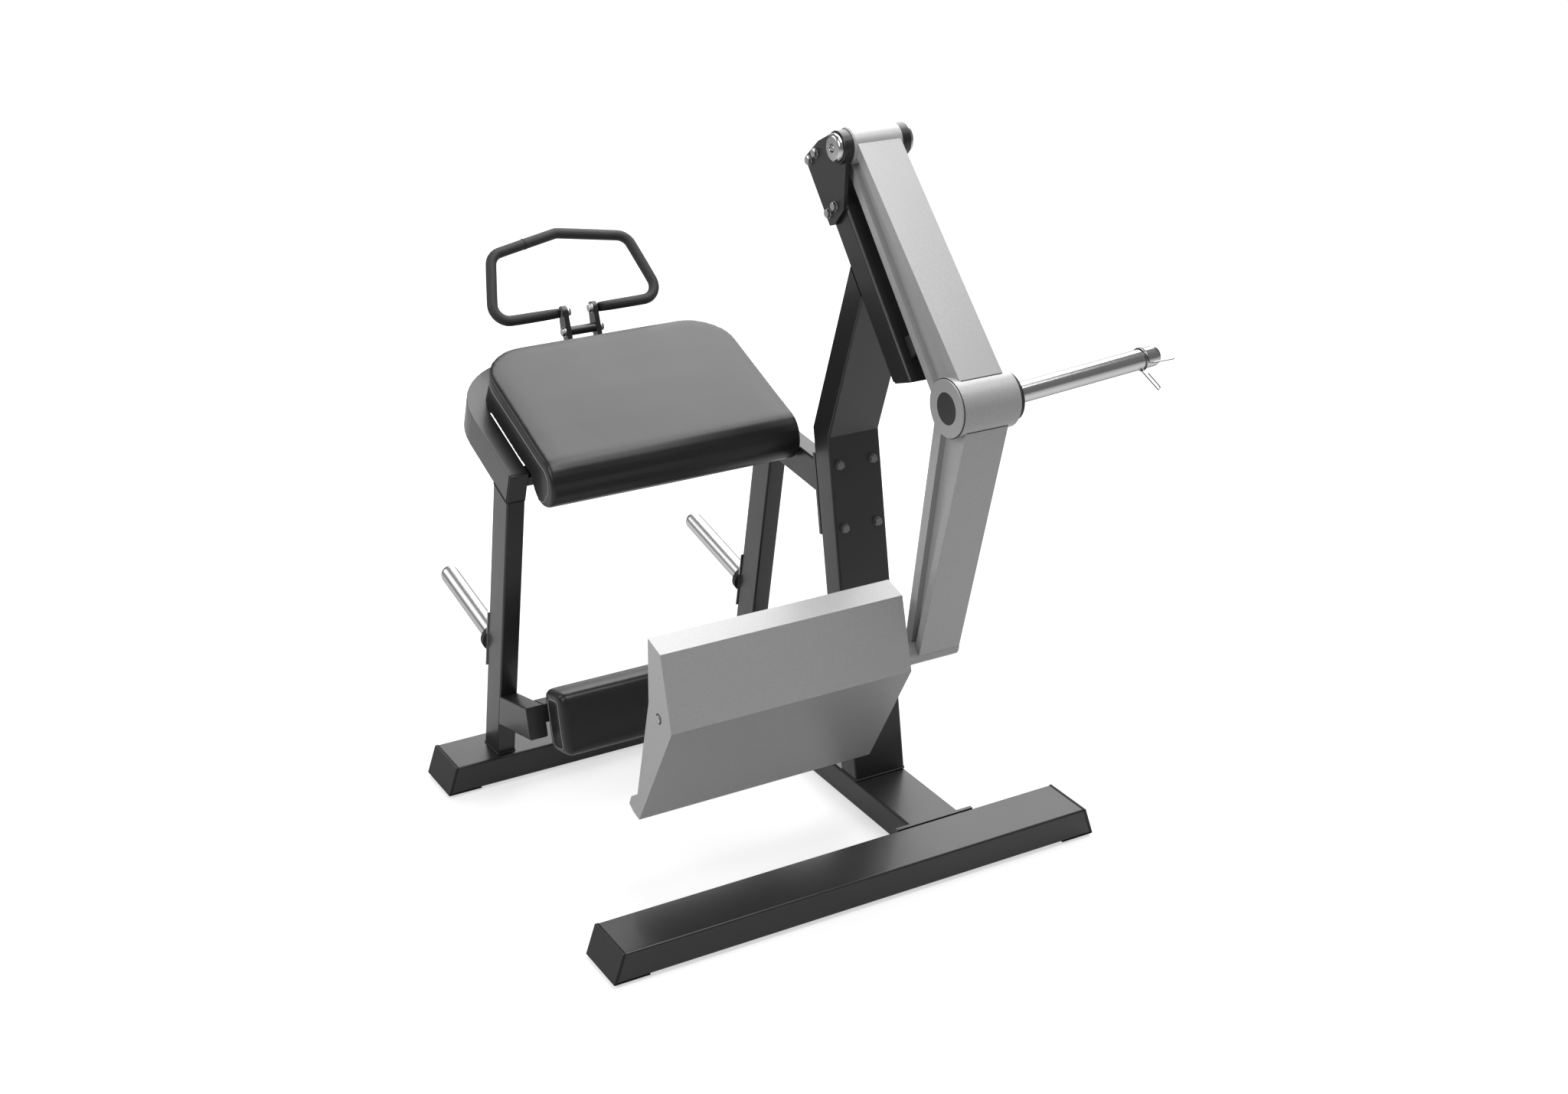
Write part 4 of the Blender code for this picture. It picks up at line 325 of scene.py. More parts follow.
looks = {
    "charcoalCoat": {
        "colour": (0.016, 0.016, 0.0165), "roughness": 0.36, "fineScale": 650, "fineChange": 0.30,
        "bump": 0.20, "bumpDepth": 0.0003, "broadChange": 0.06, "coat": 0.12, "coatRoughness": 0.12},
    "silverPaint": {
        "colour": (0.43, 0.43, 0.435), "roughness": 0.42, "fineScale": 480, "fineChange": 0.30,
        "bump": 0.08, "bumpDepth": 0.0002, "broadChange": 0.02, "metallic": 0.20, "coat": 0.22,
        "coatRoughness": 0.18},
    "chromePlate": {
        "colour": (0.62, 0.62, 0.63), "roughness": 0.20, "fineScale": 900, "fineChange": 0.02,
        "bump": 0.004, "bumpDepth": 0.0001, "metallic": 1.0, "roughnessChange": 0.01, "edgeTint": 0.25},
    "satinChrome": {
        "colour": (0.66, 0.66, 0.67), "roughness": 0.31, "fineScale": 900, "fineChange": 0.02,
        "bump": 0.004, "bumpDepth": 0.0001, "metallic": 1.0, "roughnessChange": 0.01, "edgeTint": 0.4},
    "zincPlate": {
        "colour": (0.55, 0.55, 0.56), "roughness": 0.27, "fineScale": 700, "fineChange": 0.06,
        "bump": 0.02, "bumpDepth": 0.0001, "metallic": 1.0, "edgeTint": 0.4},
    "dullZinc": {
        "colour": (0.20, 0.20, 0.205), "roughness": 0.38, "fineScale": 700, "fineChange": 0.10,
        "bump": 0.10, "bumpDepth": 0.0001, "metallic": 0.8},
    "springSteel": {
        "colour": (0.34, 0.34, 0.35), "roughness": 0.28, "fineScale": 800, "fineChange": 0.06,
        "bump": 0.04, "bumpDepth": 0.0001, "metallic": 1.0, "edgeTint": 0.2},
    "bearingSteel": {
        "colour": (0.45, 0.45, 0.46), "roughness": 0.30, "fineScale": 500, "fineChange": 0.06,
        "bump": 0.06, "bumpDepth": 0.0001, "metallic": 1.0},
    "blackRubber": {
        "colour": (0.022, 0.022, 0.022), "roughness": 0.62, "fineScale": 1100, "fineChange": 0.15,
        "bump": 0.25, "bumpDepth": 0.0003},
    "blackPlastic": {
        "colour": (0.026, 0.026, 0.027), "roughness": 0.46, "fineScale": 1600, "fineChange": 0.12,
        "bump": 0.20, "bumpDepth": 0.0002},
    "blackNylon": {
        "colour": (0.05, 0.05, 0.05), "roughness": 0.50, "fineScale": 900, "fineChange": 0.08,
        "bump": 0.12, "bumpDepth": 0.0002},
    "padVinyl": {
        "colour": (0.012, 0.012, 0.0125), "roughness": 0.34, "fineScale": 700, "fineChange": 0.06,
        "bump": 0.28, "bumpDepth": 0.0003, "broadChange": 0.04, "specular": 0.42, "leather": 820,
        "sheen": 0.05},
    # Light grey piping: a painted highlight along the cord, far paler than the cushion's vinyl
    "pipingHighlightVinyl": {
        "colour": (0.26, 0.26, 0.265), "roughness": 0.42, "fineScale": 1500, "fineChange": 0.08,
        "bump": 0.15, "bumpDepth": 0.0002},
    "birchPly": {
        "colour": (0.40, 0.28, 0.17), "roughness": 0.62, "fineScale": 60, "fineChange": 0.25,
        "bump": 0.20, "bumpDepth": 0.0003, "stretch": (1.0, 1.0, 14.0), "fineDetail": 6.0},
    "gripFoam": {
        "colour": (0.020, 0.020, 0.021), "roughness": 0.60, "fineScale": 1500, "fineChange": 0.25,
        "bump": 0.45, "bumpDepth": 0.0004, "leather": 1300},
    "seamShadow": {
        "colour": (0.008, 0.008, 0.008), "roughness": 0.70, "fineScale": 900, "fineChange": 0.10,
        "bump": 0.10, "bumpDepth": 0.0002},
}
finishes = {name: makeFinish(name, look) for name, look in looks.items()}
finishOfSlot = {
    "charcoal_powder_coat": "charcoalCoat", "silver_paint": "silverPaint", "chrome": "chromePlate",
    "bright_zinc": "zincPlate", "bearing_steel": "bearingSteel", "black_rubber": "blackRubber",
    "black_plastic": "blackPlastic", "nylon": "blackNylon", "grey_upholstery": "padVinyl",
    "plywood": "birchPly", "grip_sleeve": "gripFoam",
}
bodyOf = {name: node["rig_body"] for name, node in nodes.items()}
slotOf = {name: node.data.materials[0].name for name, node in nodes.items()}
for name, node in nodes.items():
    node.data.materials[0] = finishes[finishOfSlot[slotOf[name]]]
print("finishes made:", len(finishes))


# Tubes, plates and bolts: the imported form, merged and shaded smooth over its rounded edges. Some have
# another finish than their slot's, and some a rounding, its width in metres, on edges that are sharp
coated = {
    "mast_bolt_1": "dullZinc", "mast_bolt_2": "dullZinc",
    "mast_bolt_3": "dullZinc", "mast_bolt_4": "dullZinc",
    "storage_horn_left": "satinChrome", "storage_horn_right": "satinChrome", "spring_collar": "springSteel",
}
edged = {
    "upper_arm": 0.0022, "lower_arm": 0.0022, "foot_shell": 0.0010, "foot_tread": 0.0010,
    "pivot_plate_left": 0.0008, "pivot_plate_right": 0.0008,
    "handle_link_left": 0.0008, "handle_link_right": 0.0008,
}
reformed = (
    "weight_horn", "torso_pad", "knee_pad", "pivot_cap_left", "pivot_cap_right", "horn_collar", "handle_loop",
)
skinLook = {"smoothBelow": 32, "flatWithin": 0.3, "edgeSteps": 3, "edgeAbove": 40}


def smoothCopy(name):
    look = skinLook
    mesh = mergedCopy(name, name + "Skin", look["flatWithin"])
    mesh.shade_smooth()
    mesh.set_sharp_from_angle(angle=math.radians(look["smoothBelow"]))
    finish = coated.get(name, finishOfSlot[slotOf[name]])
    piece = addPiece(name + "Skin", mesh, finishes[finish], bodyOf[name])
    if name in edged:
        edge = piece.modifiers.new("roundedEdges", "BEVEL")
        edge.width = edged[name]
        edge.segments = look["edgeSteps"]
        edge.limit_method = "ANGLE"
        edge.angle_limit = math.radians(look["edgeAbove"])
        edge.use_clamp_overlap = True
    weighted = piece.modifiers.new("evenShading", "WEIGHTED_NORMAL")
    weighted.keep_sharp = True
    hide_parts(name)


skinNodes = [name for name in nodes if name not in reformed]
for name in skinNodes:
    smoothCopy(name)
print("skins made:", len(skinNodes))


# Cushions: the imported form, its cover filled by a cloth simulation
cushionLook = {
    "voxel": 0.006, "pressure": 4.0, "frames": 16, "quality": 5, "shrink": 0.0004, "evenPasses": 40,
    "inwardShare": 0.2, "relaxPasses": 2,
    "torsoSwell": 0.0035, "kneeSwell": 0.0030, "torsoWiden": 1.010, "kneeWiden": 1.0,
}


def swollen(mesh, swell, widen, look):
    # Fills the cover by a cloth simulation under pressure; each point moves out by the swell at most
    scene = bpy.context.scene
    piece = bpy.data.objects.new("cushionWork", mesh)
    scene.collection.objects.link(piece)
    packed = bpy.data.objects.new("cushionForm", mesh)
    scene.collection.objects.link(packed)
    remesh = piece.modifiers.new("even", "REMESH")
    remesh.mode = "VOXEL"
    remesh.voxel_size = look["voxel"]
    snug = piece.modifiers.new("snug", "SHRINKWRAP")
    snug.target = packed
    snug.wrap_method = "NEAREST_SURFACEPOINT"
    graph = bpy.context.evaluated_depsgraph_get()
    even = bpy.data.meshes.new_from_object(piece.evaluated_get(graph))
    piece.modifiers.clear()
    piece.data = even
    bpy.data.objects.remove(packed)
    count = len(even.vertices)
    start = np.zeros(count * 3)
    even.vertices.foreach_get("co", start)
    normals = np.zeros(count * 3)
    even.vertices.foreach_get("normal", normals)
    start = start.reshape(-1, 3) - normals.reshape(-1, 3) * look["shrink"]
    middle = (start[:, 0].min() + start[:, 0].max()) / 2
    start[:, 0] = middle + (start[:, 0] - middle) * widen
    even.vertices.foreach_set("co", start.ravel())
    end = start
    cloth = piece.modifiers.new("filling", "CLOTH")
    cloth.settings.use_pressure = True
    cloth.settings.uniform_pressure_force = look["pressure"]
    cloth.settings.effector_weights.gravity = 0
    cloth.settings.quality = look["quality"]
    cloth.point_cache.frame_start = 1
    cloth.point_cache.frame_end = look["frames"]
    for step in range(1, look["frames"] + 1):
        scene.frame_set(step)
    graph = bpy.context.evaluated_depsgraph_get()
    filled = piece.evaluated_get(graph).to_mesh()
    end = np.zeros(count * 3)
    filled.vertices.foreach_get("co", end)
    end = end.reshape(-1, 3)
    piece.evaluated_get(graph).to_mesh_clear()
    scene.frame_set(1)
    piece.modifiers.clear()
    # Only the outward part of the movement, averaged over neighbours so that no crease stays, and capped
    outward = np.sum((end - start) * normals.reshape(-1, 3), axis=1)
    outward = np.clip(outward, -look["inwardShare"] * swell, swell)
    ends = np.zeros(len(even.edges) * 2, dtype=int)
    even.edges.foreach_get("vertices", ends)
    first, second = ends[::2], ends[1::2]
    meeting = np.bincount(ends, minlength=count)
    for step in range(look["evenPasses"]):
        around = np.bincount(first, outward[second], count) + np.bincount(second, outward[first], count)
        outward = 0.5 * outward + 0.5 * around / np.maximum(meeting, 1)
    limited = start + normals.reshape(-1, 3) * outward[:, None]
    even.vertices.foreach_set("co", limited.ravel())
    even.update()
    bpy.data.objects.remove(piece)
    return even


def makeCushion(name, node, swell, widen):
    mesh = swollen(mergedCopy(node, name + "Form"), swell, widen, cushionLook)
    mesh.name = name
    mesh.shade_smooth()
    piece = addPiece(name, mesh, finishes["padVinyl"], bodyOf[node])
    relax = piece.modifiers.new("relax", "SMOOTH")
    relax.factor = 0.5
    relax.iterations = cushionLook["relaxPasses"]
    finer = piece.modifiers.new("finer", "SUBSURF")
    finer.levels = 1
    finer.render_levels = 1
    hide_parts(node)
    return piece


torsoShape = cushionLook["torsoSwell"], cushionLook["torsoWiden"]
kneeShape = cushionLook["kneeSwell"], cushionLook["kneeWiden"]
torsoCushion = makeCushion("torsoCushion", "torso_pad", *torsoShape)
kneeCushion = makeCushion("kneeCushion", "knee_pad", *kneeShape)
print("cushions made")


# Side view of the rail: along it from its front upper corner, and up from its top
railLook = {"slope": math.radians(20.5), "startBack": -0.0006, "startUp": 0.0800, "depth": 0.086}
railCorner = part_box("pad_rail")[0]
railBack = np.array([0.0, math.cos(railLook["slope"]), math.sin(railLook["slope"])])
railUp = np.array([0.0, -math.sin(railLook["slope"]), math.cos(railLook["slope"])])
seatMiddle = sum(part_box("pad_rail"), Vector()).x / 2


def boxMiddle(node):
    low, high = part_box(node)
    return np.array([(low.x + high.x) / 2, (low.y + high.y) / 2, (low.z + high.z) / 2])


def onRail(x, along, up):
    start = np.array([x, railCorner.y + railLook["startBack"], railCorner.z + railLook["startUp"]])
    return start + along * railBack + up * railUp


# Piping: a cord laid on the cushion, each point brought to the cover from outside; the cord is real, its
# light grey colour a painted highlight along it
pipingLook = {
    "radius": 0.0015, "sides": 10, "spacing": 0.006, "sink": 0.0002, "castFrom": 0.04,
    "offset": -0.002, "side": 0.345, "back": 0.374, "corner": 0.122, "height": 0.064, "bend": 0.02,
    "rollFoot": (-0.060, -0.033), "rollHeel": (-0.093, -0.020), "rollAlong": -0.067, "rollUp": 0.0268,
    "rollRadius": 0.0435, "rollEnd": 0.52, "frontTop": (-0.045, 0.068),
    "kneeInset": 0.019, "kneeCorner": 0.016, "kneeDeep": 0.100, "kneeHigh": 0.166, "kneeLean": 13.8,
}


def coverTree(piece):
    graph = bpy.context.evaluated_depsgraph_get()
    return BVHTree.FromObject(piece, graph)


def laidOn(tree, points, outward):
    # Casts from outside against the outward directions and keeps where the cover is met
    high, sink = pipingLook["castFrom"], pipingLook["sink"]
    laid = []
    for point, away in zip(points, outward):
        hit, _, _, _ = tree.ray_cast(Vector(point + away * high), Vector(-away), 2 * high)
        laid.append(np.array(hit) - away * sink if hit else point)
    return np.array(laid)


def torsoPiping():
    # Up each side round the rolled front edge, and round the rear corners: (along, up) on the rail's slope
    look = pipingLook
    middle = seatMiddle + look["offset"]
    tree = coverTree(torsoCushion)
    radius = look["rollRadius"]
    roll = [look["rollFoot"], look["rollHeel"]]
    roll += [(look["rollAlong"] + radius * math.cos(a), look["rollUp"] + radius * math.sin(a))
             for a in np.linspace(np.pi, look["rollEnd"] * np.pi, 12)]
    roll += [look["frontTop"], (look["back"] - look["corner"], look["height"])]
    side = roundCorners(np.array(roll), look["bend"], 5)
    left = [onRail(middle - look["side"], along, up) for along, up in side]
    leftAway = [-across] * len(left)
    bend = np.linspace(np.pi, np.pi / 2, 14)[1:]
    reach = look["corner"]
    inner, behind = look["side"] - reach, look["back"] - reach
    corner = [onRail(middle - inner + reach * math.cos(a), behind + reach * math.sin(a), look["height"])
              for a in bend]
    cornerAway = [math.cos(a) * across + math.sin(a) * railBack for a in bend]
    points = np.array(left + corner)
    away = np.array(leftAway + cornerAway)
    mirror = np.array([-1.0, 1.0, 1.0])
    centre = np.array([2 * middle, 0.0, 0.0])
    points = np.vstack([points, (points * mirror + centre)[::-1]])
    away = np.vstack([away, (away * mirror)[::-1]])
    even = resampled(points, look["spacing"])
    steps = np.concatenate([[0], np.cumsum(np.linalg.norm(np.diff(points, axis=0), axis=1))])
    places = np.linspace(0, steps[-1], len(even))
    evenAway = np.stack([np.interp(places, steps, away[:, k]) for k in range(3)], -1)
    evenAway /= np.linalg.norm(evenAway, axis=1)[:, None]
    path = laidOn(tree, even, evenAway)
    mesh = sweptMesh("torsoPiping", path, look["radius"], look["sides"])
    addPiece("torsoPiping", mesh, finishes["pipingHighlightVinyl"], bodyOf["torso_pad"])


def kneePiping():
    # On each end of the low cushion, a rounded rectangle inset from its outline
    look = pipingLook
    low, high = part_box("knee_pad")
    lean = math.radians(look["kneeLean"])
    forward = np.array([0.0, -math.cos(lean), math.sin(lean)])
    up = np.array([0.0, math.sin(lean), math.cos(lean)])
    middle = boxMiddle("knee_pad")
    deep = look["kneeDeep"] / 2 - look["kneeInset"]
    tall = look["kneeHigh"] / 2 - look["kneeInset"]
    reach = look["kneeCorner"]
    tree = coverTree(kneeCushion)
    ring = [(0, tall), (deep, tall), (deep, -tall), (-deep, -tall), (-deep, tall), (0, tall)]
    path = roundCorners(np.array(ring), reach, 6)[:-1]
    for side, sign in (("Left", -1), ("Right", 1)):
        end = high.x if sign > 0 else low.x
        points = np.array([[end, middle[1], middle[2]] + a * forward + b * up for a, b in path])
        points = resampled(points, look["spacing"], closed=True)
        laid = laidOn(tree, points, np.tile(sign * across, (len(points), 1)))
        mesh = sweptMesh("kneePiping" + side, laid, look["radius"], look["sides"], closed=True)
        addPiece("kneePiping" + side, mesh, finishes["pipingHighlightVinyl"], bodyOf["knee_pad"])


torsoPiping()
kneePiping()
print("piping laid")


# Seams and welds: where a plane cuts a tube, a dark line of painted seam shade or a rippled bead round it
seamLook = {
    "radius": 0.0018, "sides": 8, "spacing": 0.008, "endLean": math.atan2(0.0256, 0.075),
    "behindFace": 0.0030, "capDepth": 0.0045, "belowRail": 0.0012,
    "beadRadius": 0.0026, "ripple": 0.14, "rippleLength": 0.0052, "aboveBeam": 0.0015, "aboveFoot": 0.0025,
}


def cornerPath(loop, spacing):
    # Keeps the corners of a loop and adds points along its straights
    loop = np.vstack([loop, loop[:1]])
    counts = [max(2, int(np.linalg.norm(b - a) / spacing) + 1) for a, b in zip(loop, loop[1:])]
    return np.vstack([np.linspace(a, b, count)[:-1] for a, b, count in zip(loop, loop[1:], counts)])


def seamRound(name, node, point, normal, bead=False):
    look = seamLook
    for number, loop in enumerate(sliceLoops(nodes[node].data, point, normal)):
        path = cornerPath(loop, look["spacing"])
        radius = look["radius"]
        if bead:
            path = resampled(loop, look["rippleLength"] / 4, closed=True)
            wave = np.arange(len(path)) * 0.25 * 2 * np.pi
            radius = look["beadRadius"] * (1 + look["ripple"] * np.sin(wave))
        title = name + ("" if number == 0 else "Other")
        mesh = sweptMesh(title, path, radius, look["sides"], closed=True)
        # A plain line takes the near-black seamShadow finish as painted shade in the joint; a bead is a real
        # charcoal weld
        addPiece(title, mesh, finishes["charcoalCoat" if bead else "seamShadow"], bodyOf[node])


def beamSeams():
    lean, inset = seamLook["endLean"], seamLook["behindFace"]
    for beam in ("front", "rear"):
        low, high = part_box(beam + "_beam")
        for side, sign, end in (("Left", -1, low.x), ("Right", 1, high.x)):
            point = (end - sign * inset, low.y, low.z)
            outward = (sign * math.cos(lean), 0, math.sin(lean))
            # Painted shade: a dark ring at the joint of each beam and its end cap
            seamRound(beam + "Cap" + side, beam + "_beam", point, outward)


def frameSeams():
    look = seamLook
    # Painted shade: a dark ring where the rail meets its end cap, and one where each leg meets the rail
    seamRound("railCapSeamShade", "pad_rail", tuple(onRail(0, look["capDepth"], 0)), tuple(railBack))
    underRail = tuple(onRail(0, 0, -railLook["depth"] - look["belowRail"]))
    legFoot = (0, 0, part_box("rear_beam")[1].z + look["aboveBeam"])
    mastFoot = (0, 0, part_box("mast_lower")[0].z + look["aboveFoot"])
    for side in ("left", "right"):
        seamRound("legTopSeamShade" + side.title(), "leg_" + side, underRail, tuple(railUp))
        seamRound("legWeld" + side.title(), "leg_" + side, legFoot, tuple(upward), bead=True)
    seamRound("mastWeld", "mast_lower", mastFoot, tuple(upward), bead=True)


beamSeams()
frameSeams()


# Where the arms meet the elbow: a dark line of painted contact shade across each front, and a dark ring of
# painted groove shade round its open end
elbowLook = {
    "radius": 0.070, "lip": 0.004, "grooveRadius": 0.0010, "grooveSink": 0.0004, "grooveSteps": 96,
    "lineRadius": 0.0014, "lineSpacing": 0.01, "armInset": 0.003, "sides": 8,
    "upperFacing": (0, -0.71, 0.71), "lowerFacing": (0, -0.97, -0.25), "facingShare": 0.97,
}


def frontFace(node, direction):
    # Middle and normal of a node's largest flat face that looks in a direction
    mesh = nodes[node].data
    share = elbowLook["facingShare"]
    faces = [face for face in mesh.polygons if face.normal.dot(Vector(direction)) > share]
    largest = max(faces, key=lambda face: face.area)
    return np.array(largest.center), np.array(largest.normal)


def elbowSeams():
    look = elbowLook
    centre = boxMiddle("elbow_tube")
    centre[0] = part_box("elbow_tube")[0].x + look["lip"]
    turn = np.linspace(0, 2 * np.pi, look["grooveSteps"], endpoint=False)[:, None]
    reach = look["radius"] - look["grooveSink"]
    circle = centre + reach * (np.cos(turn) * np.array([0, 1.0, 0]) + np.sin(turn) * upward)
    # Painted shade: a dark ring for the groove at the tube's open end
    mesh = sweptMesh("elbowGrooveShade", circle, look["grooveRadius"], look["sides"], closed=True)
    addPiece("elbowGrooveShade", mesh, finishes["seamShadow"], bodyOf["elbow_tube"])
    for name, node, direction, onward in (("upperArmSeamShade", "upper_arm", look["upperFacing"], 1),
                                          ("lowerArmSeamShade", "lower_arm", look["lowerFacing"], -1)):
        # The arm's front plane, offset from the tube's axis, meets it sqrt(radius^2 - offset^2) up or down
        middle, normal = frontFace(node, direction)
        offset = (middle - centre) @ normal
        run = np.cross(across, normal)
        run *= np.sign(run[2]) * onward
        place = centre + normal * offset + run * math.sqrt(look["radius"] ** 2 - offset ** 2)
        low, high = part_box(node)
        ends = low.x + look["armInset"], high.x - look["armInset"]
        path = resampled(np.array([[x, place[1], place[2]] for x in ends]), look["lineSpacing"])
        # Painted shade: a dark line where the arm's front meets the tube
        mesh = sweptMesh(name, path, look["lineRadius"], look["sides"])
        addPiece(name, mesh, finishes["seamShadow"], bodyOf[node])


elbowSeams()
print("seams and welds laid")


# Pivot caps: rounded chrome covers with a screw head sunk in the middle
capLook = {
    "rim": 0.0095, "rimSteps": 14, "rimDrop": 0.0012, "edge": 0.0006, "recess": 0.0104, "recessDepth": 0.0052,
    "recessEdge": (0.0007, 0.0005), "floorEdge": (0.0003, 0.0004), "head": 0.0072, "headEdge": 0.0012,
    "headDrop": 0.0003, "socket": 0.0040, "socketDepth": 0.003, "socketEdge": (0.0005, 0.0002), "steps": 120,
}


def pivotCap(side, sign):
    # Rows from the back face out over the rim, down into the recess, and over the screw head into its socket
    look = capLook
    low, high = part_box("pivot_cap_" + side)
    centre = boxMiddle("pivot_cap_" + side)
    centre[0] = low.x if sign > 0 else high.x
    radius, length = (high.z - low.z) / 2, high.x - low.x
    rim, edge, headEdge = look["rim"], look["edge"], look["headEdge"]
    recess, head, socket = look["recess"], look["head"], look["socket"]
    floor, bottom = length - look["recessDepth"], length - look["socketDepth"]
    rows = [(0, 0, 0), (radius - edge, 0, 0), (radius, edge, 0)]
    rows += [(radius - rim + rim * math.cos(a), length - rim - look["rimDrop"] + rim * math.sin(a), 0)
             for a in np.linspace(0, np.pi / 2, look["rimSteps"])]
    rows += [
        (recess + look["recessEdge"][0], length, 0), (recess, length - look["recessEdge"][1], 0),
        (recess, floor, 0), (head + look["floorEdge"][0], floor, 0), (head, floor + look["floorEdge"][1], 0),
        (head, length - headEdge, 0), (head - headEdge, length - look["headDrop"], 0),
        (socket + look["socketEdge"][0], length - look["socketEdge"][1], 0.6), (socket, length - edge, 1),
        (socket, bottom, 1), (0, bottom, 0),
    ]
    name = "pivotCap" + side.title()
    mesh = hexTurnedMesh(name, rows, centre, sign * across, look["steps"])
    node = "pivot_cap_" + side
    piece = addPiece(name, mesh, finishes["chromePlate"], bodyOf[node])
    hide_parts("pivot_cap_" + side)


pivotCap("left", -1)
pivotCap("right", 1)


# Weight horn: a turned bar with a domed tip, its root on the elbow's flat end
hornLook = {
    "radius": 0.025, "length": 0.4445, "rows": (0, 0.05, 0.22225), "dome": 0.020, "domeSteps": 16,
    "tilt": math.radians(3.73), "rootGap": 0.0003, "steps": 144, "smoothBelow": 30,
}
hornRun = np.array([math.cos(hornLook["tilt"]), 0.0, math.sin(hornLook["tilt"])])


def weightHorn():
    # Its first row slides back along the horn onto the elbow's end plane: point - run * (offset x / run x)
    look = hornLook
    root = boxMiddle("elbow_tube")
    root[0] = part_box("elbow_tube")[1].x + look["rootGap"]
    radius, length, dome = look["radius"], look["length"], look["dome"]
    turn = np.linspace(0, np.pi / 2, look["domeSteps"])
    tip = [(radius - dome + dome * math.cos(a), length - dome + dome * math.sin(a)) for a in turn]
    bar = [(radius, height) for height in look["rows"]]
    points = turnedPoints([*bar, *tip], root, hornRun, look["steps"])
    points[0] -= ((points[0] - root)[:, :1] / hornRun[0]) * hornRun
    mesh = gridMesh("weightHorn", points, capped=True, smoothBelow=look["smoothBelow"])
    body, slot = bodyOf["weight_horn"], slotOf["weight_horn"]
    piece = addPiece("weightHorn", mesh, finishes["chromePlate"], body)
    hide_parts("weight_horn")


weightHorn()


# Rubber ring at the root of the weight horn
ringLook = {
    "bore": 0.0254, "radius": 0.0585, "thickness": 0.0145, "round": 0.003, "stand": 0.0022, "steps": 112,
}


def hornRing():
    look = ringLook
    centre = boxMiddle("horn_collar")
    centre[0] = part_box("horn_collar")[0].x
    centre[2] = boxMiddle("elbow_tube")[2]
    centre += look["stand"] * hornRun
    bore, radius, thick = look["bore"], look["radius"], look["thickness"]
    profile = [(bore, 0), (radius, 0), (radius, thick), (bore, thick), (bore, 0)]
    profile = roundCorners(profile, look["round"], 5)[:-1]
    mesh = turnedMesh("hornRing", profile, centre, hornRun, look["steps"], ring=True)
    piece = addPiece("hornRing", mesh, finishes["blackRubber"], bodyOf["horn_collar"])
    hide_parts("horn_collar")


hornRing()


# Handle: foam over the bent bar, a dark line of painted shade at its closing seam, and the bolts through the
# links
handleLook = {
    "swell": 0.0023, "smoothBelow": 50, "along": 0.4880, "up": 0.0837, "crossAlong": 0.4560,
    "crossUp": 0.0442, "offset": -0.0056, "outer": 0.050, "inner": 0.036, "lean": math.radians(36.5),
    "seamX": -0.098, "seamUp": 0.2022, "seamRun": (0.984, 0.178), "seamRadius": 0.0009,
}
boltLook = {
    "washer": 0.0133, "washerThick": 0.0022, "washerEdge": 0.0004, "head": 0.0114, "headHigh": 0.0075,
    "foot": 0.98, "footEdge": 0.0005, "chamfer": 0.0012, "face": 0.86,
}


def handleFoam():
    look = handleLook
    mesh = mergedCopy("handle_loop", "handleFoam")
    mesh.shade_smooth()
    mesh.set_sharp_from_angle(angle=math.radians(look["smoothBelow"]))
    count = len(mesh.vertices)
    places, normals = np.zeros(count * 3), np.zeros(count * 3)
    mesh.vertices.foreach_get("co", places)
    mesh.vertices.foreach_get("normal", normals)
    mesh.vertices.foreach_set("co", places + normals * look["swell"])
    piece = addPiece("handleFoam", mesh, finishes["gripFoam"], bodyOf["handle_loop"])
    finer = piece.modifiers.new("finer", "SUBSURF")
    finer.levels = 1
    finer.render_levels = 1
    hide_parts("handle_loop")
    # The foam's closing seam: the cut nearest to its place, drawn as a dark line of painted seam shade
    lean = np.array([0.0, math.sin(look["lean"]), math.cos(look["lean"])])
    joint = onRail(seatMiddle + look["offset"], look["along"], look["up"])
    point = joint + look["seamX"] * across + look["seamUp"] * lean
    run = look["seamRun"][0] * across + look["seamRun"][1] * lean
    loops = sliceLoops(mesh, tuple(point), tuple(run))
    loop = min(loops, key=lambda ring: np.linalg.norm(ring.mean(0) - point))
    seam = sweptMesh("handleSeamShade", loop, look["seamRadius"], 8, closed=True)
    addPiece("handleSeamShade", seam, finishes["seamShadow"], bodyOf["handle_loop"])


def hexBolt(name, place, axis, body):
    # Washer and chamfered hexagon head standing on a face
    look = boltLook
    thick, top = look["washerThick"], look["washerThick"] + look["headHigh"]
    washer, head, edge = look["washer"], look["head"], look["washerEdge"]
    rows = [
        (0, 0, 0), (washer - edge, 0, 0), (washer, edge, 0),
        (washer, thick - edge, 0), (washer - edge, thick, 0),
        (head * look["foot"], thick, 0.2), (head, thick + look["footEdge"], 1),
        (head, top - look["chamfer"], 1), (head * look["face"], top, 0.05), (0, top, 0),
    ]
    mesh = hexTurnedMesh(name, rows, place, axis)
    addPiece(name, mesh, finishes["zincPlate"], body)


def handleBolts():
    middle = seatMiddle + handleLook["offset"]
    joint = onRail(middle, handleLook["along"], handleLook["up"])
    cross = onRail(middle, handleLook["crossAlong"], handleLook["crossUp"])
    body = bodyOf["handle_loop"]
    inner, outer = handleLook["inner"] * across, handleLook["outer"] * across
    hexBolt("handleBoltLeft", joint - inner, across, body)
    hexBolt("handleBoltRight", joint + inner, -across, body)
    hexBolt("crossBoltLeft", cross - outer, -across, body)
    hexBolt("crossBoltRight", cross + outer, across, body)


handleFoam()
handleBolts()


# Bright end of the foot plate's pin: a low dome of (radius, height) rows
pinRows = [(0.0, 0.0002), (0.0098, 0.0002), (0.0098, 0.0008), (0.0088, 0.0016), (0.0, 0.0020)]


